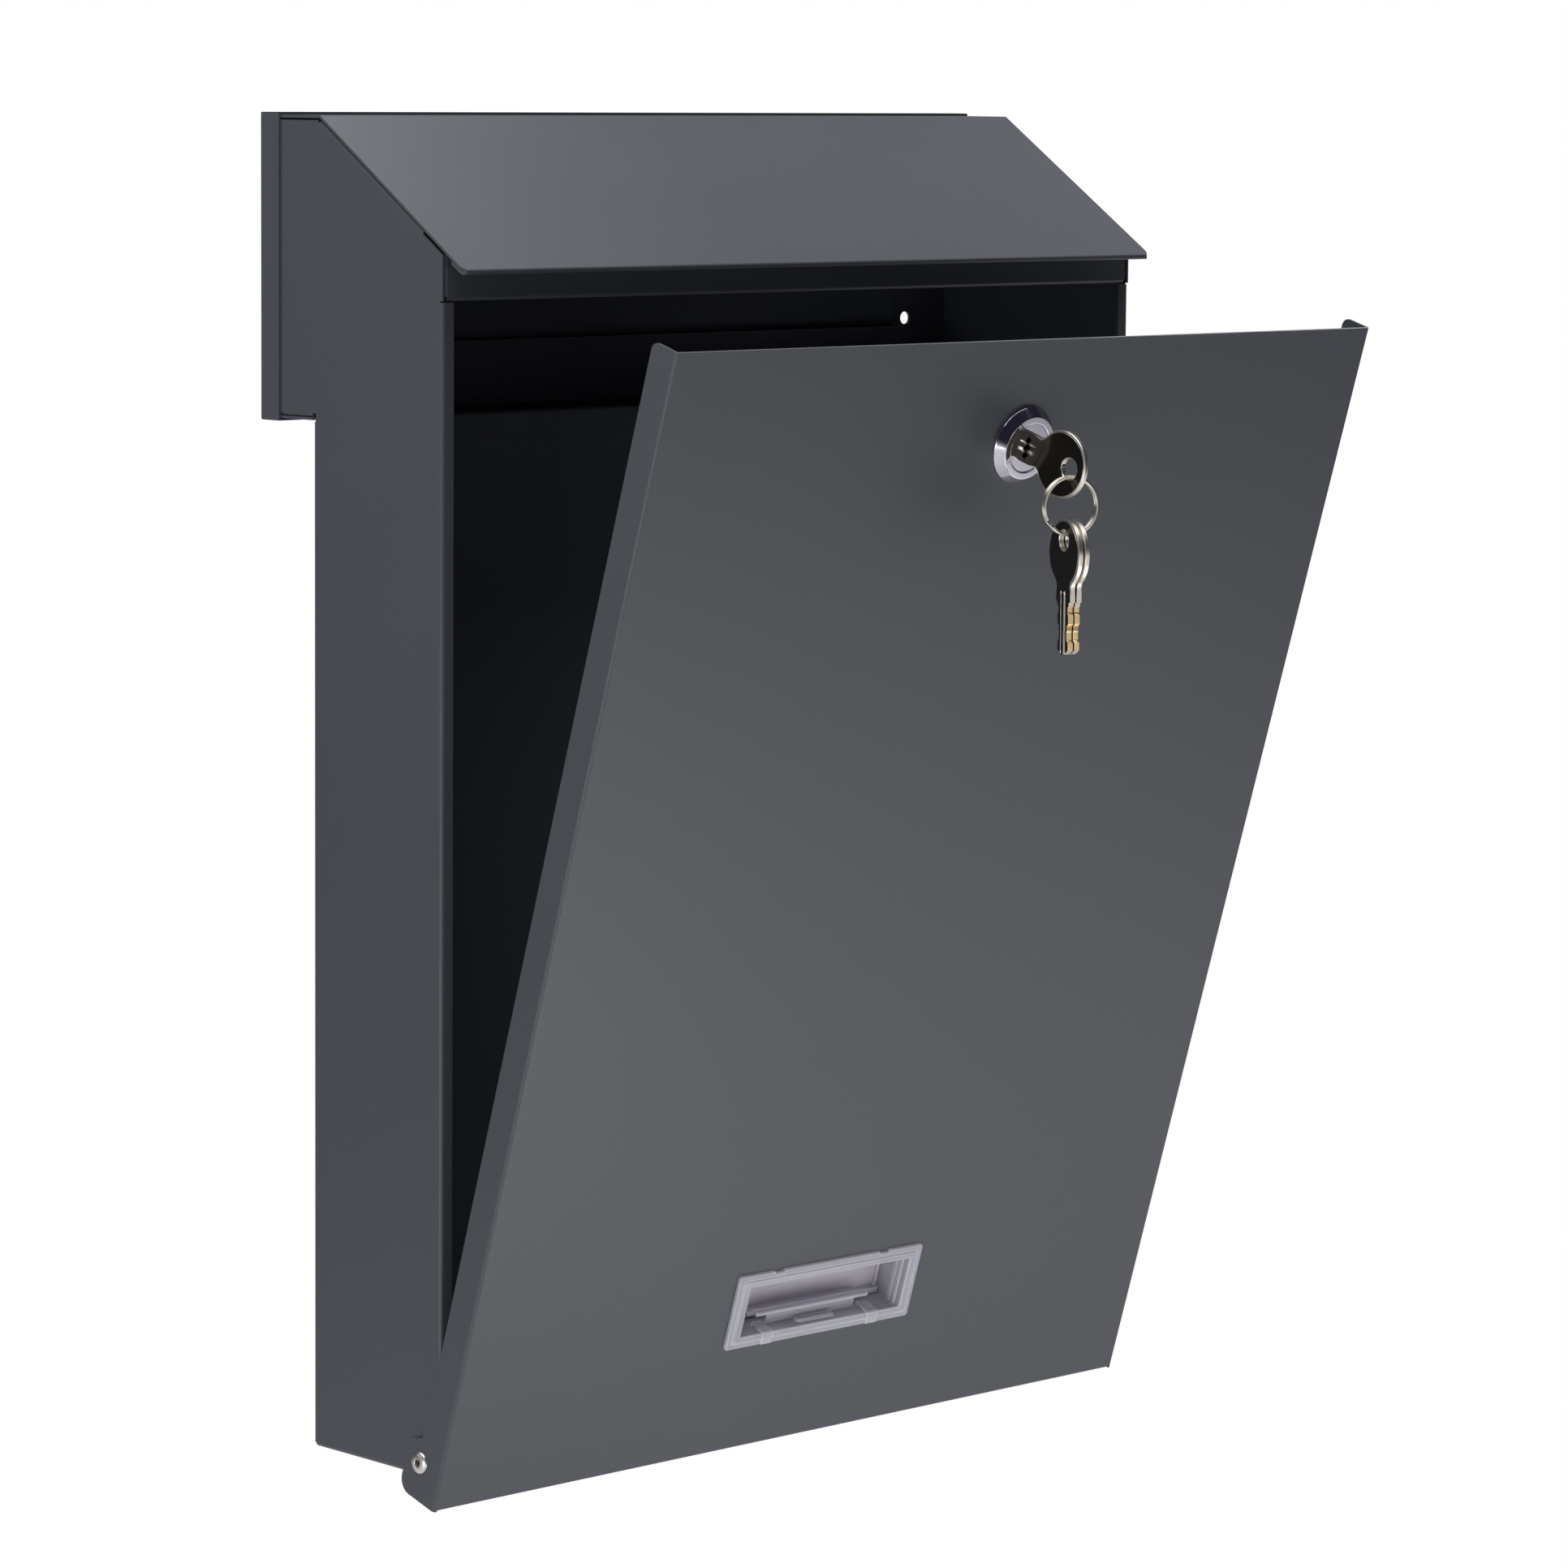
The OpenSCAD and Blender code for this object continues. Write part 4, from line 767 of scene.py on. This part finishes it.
def grip_surface():
    """A half-round bead 0.8 mm high swept round a stadium 15.1 by 1.9 mm on the floor: the bead's
    section is set outward from the stadium at each point."""
    half_length, half_width, middle_y, bead_half, bead_height = 6.6, 0.95, 2.1, 0.42, 0.82
    t = np.linspace(0, 2 * math.pi, 120, endpoint=False)
    round_x, round_y = np.cos(t)[:, None], np.sin(t)[:, None]
    core_x = np.clip(round_x * 40, -1, 1) * half_length
    s = np.linspace(0, 2 * math.pi, 16, endpoint=False)[None, :]
    out, up = half_width + bead_half * np.cos(s), np.maximum(bead_height * np.sin(s), -0.05)
    return np.stack([core_x + out * round_x, middle_y + out * round_y,
                     tray_floor + up + 0 * round_x], axis=-1)


# A finger lies on the rim's outer band, bends back over its border and runs 4.3 mm into the tray.
t = np.linspace(0, 1, 25)[:, None]
bend = np.linspace(0, math.pi / 2, 7)[:, None]
finger = np.concatenate([
    [(-0.95, -12.2), (-0.95, -10.6)],
    np.concatenate([-0.35 - 0.6 * np.cos(bend), -9.3 + 0.6 * np.sin(bend)], axis=1),
    np.concatenate([4.5 * t - 0.2, -8.7 + 0.75 * t * t * (3 - 2 * t)], axis=1)])
ledge = np.concatenate([
    [(4.1, -5.3), (3.9, -4.9)],
    np.concatenate([4.2 - 0.4 * np.cos(bend), -4.8 + 0.4 * np.sin(bend)], axis=1),
    [(5.4, -4.3)]])
step_wall = [(4.6, -8.5), (4.6, -7.0), (4.6, -4.9)]
plate_grids = [(rim_surface(), True, True), (grip_surface(), True, True),
               (strip_surface(ledge, 47.6, 0.4), False, True),
               (strip_surface(step_wall, 37.4, 0.5), False, True)]
for x in (-finger_x, finger_x):
    for path in (finger, [(4.4, -9.2), (4.4, -8.0)]):
        strip = strip_surface(path, finger_width, 0.6)
        plate_grids.append((strip + np.array([x, 0, 0]), False, True))
wall_z = 9.35
for x in (-catch_x, catch_x):
    for side in (-1, 1):
        wedge = strip_surface([(0.86, wall_z), (3.6, wall_z), (6.2, wall_z)], 7, 0.85)
        thinned = np.array([0.6, 0.15, 0.15])[:, None]
        wedge[-3:, :, 2] = wall_z + (wedge[-3:, :, 2] - wall_z) * thinned
        wedge[:, :, 2] *= side
        plate_grids.append((wedge + np.array([x, 0, 0]), False, True))
add_piece("nameplate_frame_finished", plate_grids, plate_place, polystyrene, "door",
          ["nameplate_frame"], crease=28)

# ---- Name plate cover -------------------------------------------------------------------
# The pane at the back, 70 by 18.8 mm and 1 mm thick, with low rims at its sides and top and along
# its foot a step 2.4 mm deep with a half-round bead 1.2 mm high, cut away behind the fingers.
half_pane, half_field, pane_front, pane_back = (35, 9.4), (33.6, 8.1), 11.3, 12.3
rim_x, rim_z, rim_height, step_top, step_depth = 32.6, 7.1, 1.2, -6.4, 2.4
bead_x, bead_z, bead_radius, notch_half = 23.6, -6.9, 1.2, 2.5


def cover_surface():
    """Front and back over the same grid of x and z. The front stands out of the pane by the rims,
    the step less its two notches, and the bead, which is half a circle in z. Each bend has two
    columns 0.1 mm apart."""
    half_width, half_height = half_pane
    bends_x = [half_field[0], rim_x, bead_x, finger_x - notch_half, finger_x + notch_half]
    bends_x = np.array([sign * x for x in bends_x for sign in (-1, 1)])
    bends_z = np.array([-half_field[1], step_top, rim_z, half_field[1]])
    x = np.concatenate([np.linspace(-half_width, half_width, 141), bends_x - 0.05, bends_x + 0.05])
    z = np.concatenate([np.linspace(-half_height, half_height, 60),
                        np.linspace(bead_z - bead_radius, bead_z + bead_radius + 0.1, 24),
                        bends_z - 0.05, bends_z + 0.05])
    x, z = np.unique(np.round(x, 3)), np.unique(np.round(z, 3))
    x, z = x[:, None], z[None, :]

    def inside(value, low, high):
        """1 from low to high, 0 beyond, with a slope 0.1 mm wide at both."""
        return np.clip((value - low) / 0.1 + 0.5, 0, 1) * np.clip((high - value) / 0.1 + 0.5, 0, 1)

    field = inside(x, -half_field[0], half_field[0]) * inside(z, -half_field[1], half_field[1])
    at_sides, at_top = 1 - inside(x, -rim_x, rim_x), inside(z, rim_z, half_height)
    rims = rim_height * field * np.maximum(at_sides, at_top)
    step = step_depth * field * inside(z, -half_height, step_top)
    notches = sum(inside(x, middle - notch_half, middle + notch_half)
                  for middle in (-finger_x, finger_x)) * inside(z, -half_height, bead_z)
    step = step * (1 - 0.75 * notches)
    across = np.sqrt(np.maximum(bead_radius ** 2 - (z - bead_z) ** 2, 0))
    bead = np.where(np.abs(z - bead_z) < bead_radius, step_depth + across, 0)
    raised = np.maximum(np.maximum(rims, step), bead * inside(x, -bead_x, bead_x))
    front = np.stack([x + 0 * z, pane_front - raised, z + 0 * x], axis=-1)
    back = np.stack([x + 0 * z, pane_back + 0 * raised, z + 0 * x], axis=-1)
    around = [np.stack([front[0], back[0]]), np.stack([front[-1], back[-1]]),
              np.stack([front[:, 0], back[:, 0]]), np.stack([front[:, -1], back[:, -1]])]
    return [(grid, False, False) for grid in [front, back] + around]


add_piece("nameplate_cover_finished", cover_surface(), plate_place, milky_polystyrene, "cover",
          ["nameplate_cover"], crease=28)

# ---- Floor, light and camera ------------------------------------------------------------
# A plain pale studio floor 260 mm below the box, soft lamps round it and the camera at its upper
# left. What the camera or clear plastic sees of the floor and the world is white.
floor_z, reach = cad_box[0][2] - 260 * MM, 12.0
floor_mesh = bpy.data.meshes.new("studio floor")
floor_mesh.from_pydata([(-reach, -reach, floor_z), (reach, -reach, floor_z),
                        (reach, reach, floor_z), (-reach, reach, floor_z)], [], [(0, 1, 2, 3)])
floor = bpy.data.objects.new("studio floor", floor_mesh)
bpy.context.collection.objects.link(floor)


def seen_directly(tree):
    """1 for the camera's own rays and for those that pass through clear plastic."""
    rays = add(tree, "ShaderNodeLightPath")
    return add(tree, "ShaderNodeMath", {}, {0: rays.outputs["Is Camera Ray"],
                                            1: rays.outputs["Is Transmission Ray"]},
               operation="MAXIMUM").outputs[0]


paper, tree, shader = new_material("white paper")
shader.inputs["Base Color"].default_value = linear("#f4f4f4")
shader.inputs["Roughness"].default_value = 0.9
glow = add(tree, "ShaderNodeEmission", {"Color": (1, 1, 1, 1), "Strength": 1.0})
blend = add(tree, "ShaderNodeMixShader", {}, {0: seen_directly(tree), 1: shader.outputs["BSDF"],
                                             2: glow.outputs["Emission"]})
tree.links.new(blend.outputs["Shader"], tree.nodes["Material Output"].inputs["Surface"])
floor_mesh.materials.append(paper)

world = bpy.data.worlds.new("studio")
bpy.context.scene.world = world
world.use_nodes = True
tree = world.node_tree
walls = add(tree, "ShaderNodeMix", {"A": linear("#23232f"), "B": linear("#ffffff")},
            {"Factor": seen_directly(tree)}, data_type="RGBA")
background = tree.nodes["Background"]
tree.links.new(walls.outputs["Result"], background.inputs["Color"])
background.inputs["Strength"].default_value = 1.0


def lamp(name, place, aim, size, watts):
    """A rectangular soft box at place, facing aim."""
    light = bpy.data.lights.new(name, "AREA")
    light.shape = "RECTANGLE"
    light.size, light.size_y = size
    light.energy = watts
    holder = bpy.data.objects.new(name, light)
    bpy.context.collection.objects.link(holder)
    holder.location = place
    holder.rotation_euler = (Vector(aim) - Vector(place)).to_track_quat("-Z", "Y").to_euler()


middle = (Vector(cad_box[0]) + Vector(cad_box[1])) / 2
for name, place, aim, size, watts in (
        ("top soft box", (0.0, -0.1, 1.3), (0, 0, 0), (1.4, 1.2), 10.5),
        ("top rear soft box", (0.1, 0.5, 1.2), (0, 0, 0), (1.0, 0.8), 7.0),
        ("top left soft box", (-0.8, -0.2, 1.2), (0, 0, 0), (0.8, 0.8), 8.9),
        ("right rear soft box", (1.5, 0.6, 0.5), (0, 0, 0), (0.8, 1.0), 5.5),
        ("low left reflector", (-1.3, -0.3, -0.4), (0, 0, -0.1), (0.8, 0.5), 5.4),
        ("left rear soft box", (-1.2, 0.7, 0.3), (0, 0, 0), (0.8, 0.8), 1.4),
        ("table reflector", (0.38, -0.6, -0.44), (0.38, -0.6, 1.0), (1.0, 0.8), 1.1),
        ("near reflector", (0.0, -0.4, -0.42), (0, 0, -0.15), (0.6, 0.3), 1.0),
        ("front soft box", (0.15, -1.9, -0.25), (0, 0, -0.05), (0.8, 0.5), 1.9)):
    lamp(name, middle + Vector(place), middle + Vector(aim), size, watts)

# The camera stands 1.2 m to the left and 1.3 m in front of the body, looking a little down. Its
# focal length and its shift are given in parts of the sensor's width.
sensor, parts = 36, 1932
camera_mm = (-1205.37, -1267.94 - total_depth, 412.44 - mount_height)
yaw, pitch, roll = 0.75708, 0.10599, 0.00825
ahead = Vector((math.sin(yaw) * math.cos(pitch), math.cos(yaw) * math.cos(pitch),
                -math.sin(pitch)))
across = Vector((math.cos(yaw), -math.sin(yaw), 0))
upward = across.cross(ahead)
right = across * math.cos(roll) + upward * math.sin(roll)
up = upward * math.cos(roll) - across * math.sin(roll)
camera_data = bpy.data.cameras.new("camera")
camera_data.sensor_width = sensor
camera_data.lens = sensor * (7044.5 / parts)
camera_data.shift_y = (844.04 - parts / 2) / parts
camera_data.clip_start = 0.05
camera_data.clip_end = 100
camera = bpy.data.objects.new("camera", camera_data)
bpy.context.collection.objects.link(camera)
camera.matrix_world = (Matrix.Translation([value * MM for value in camera_mm])
                       @ Matrix((right, up, -ahead)).transposed().to_4x4())
bpy.context.scene.camera = camera
bpy.context.scene.view_settings.view_transform = "Standard"
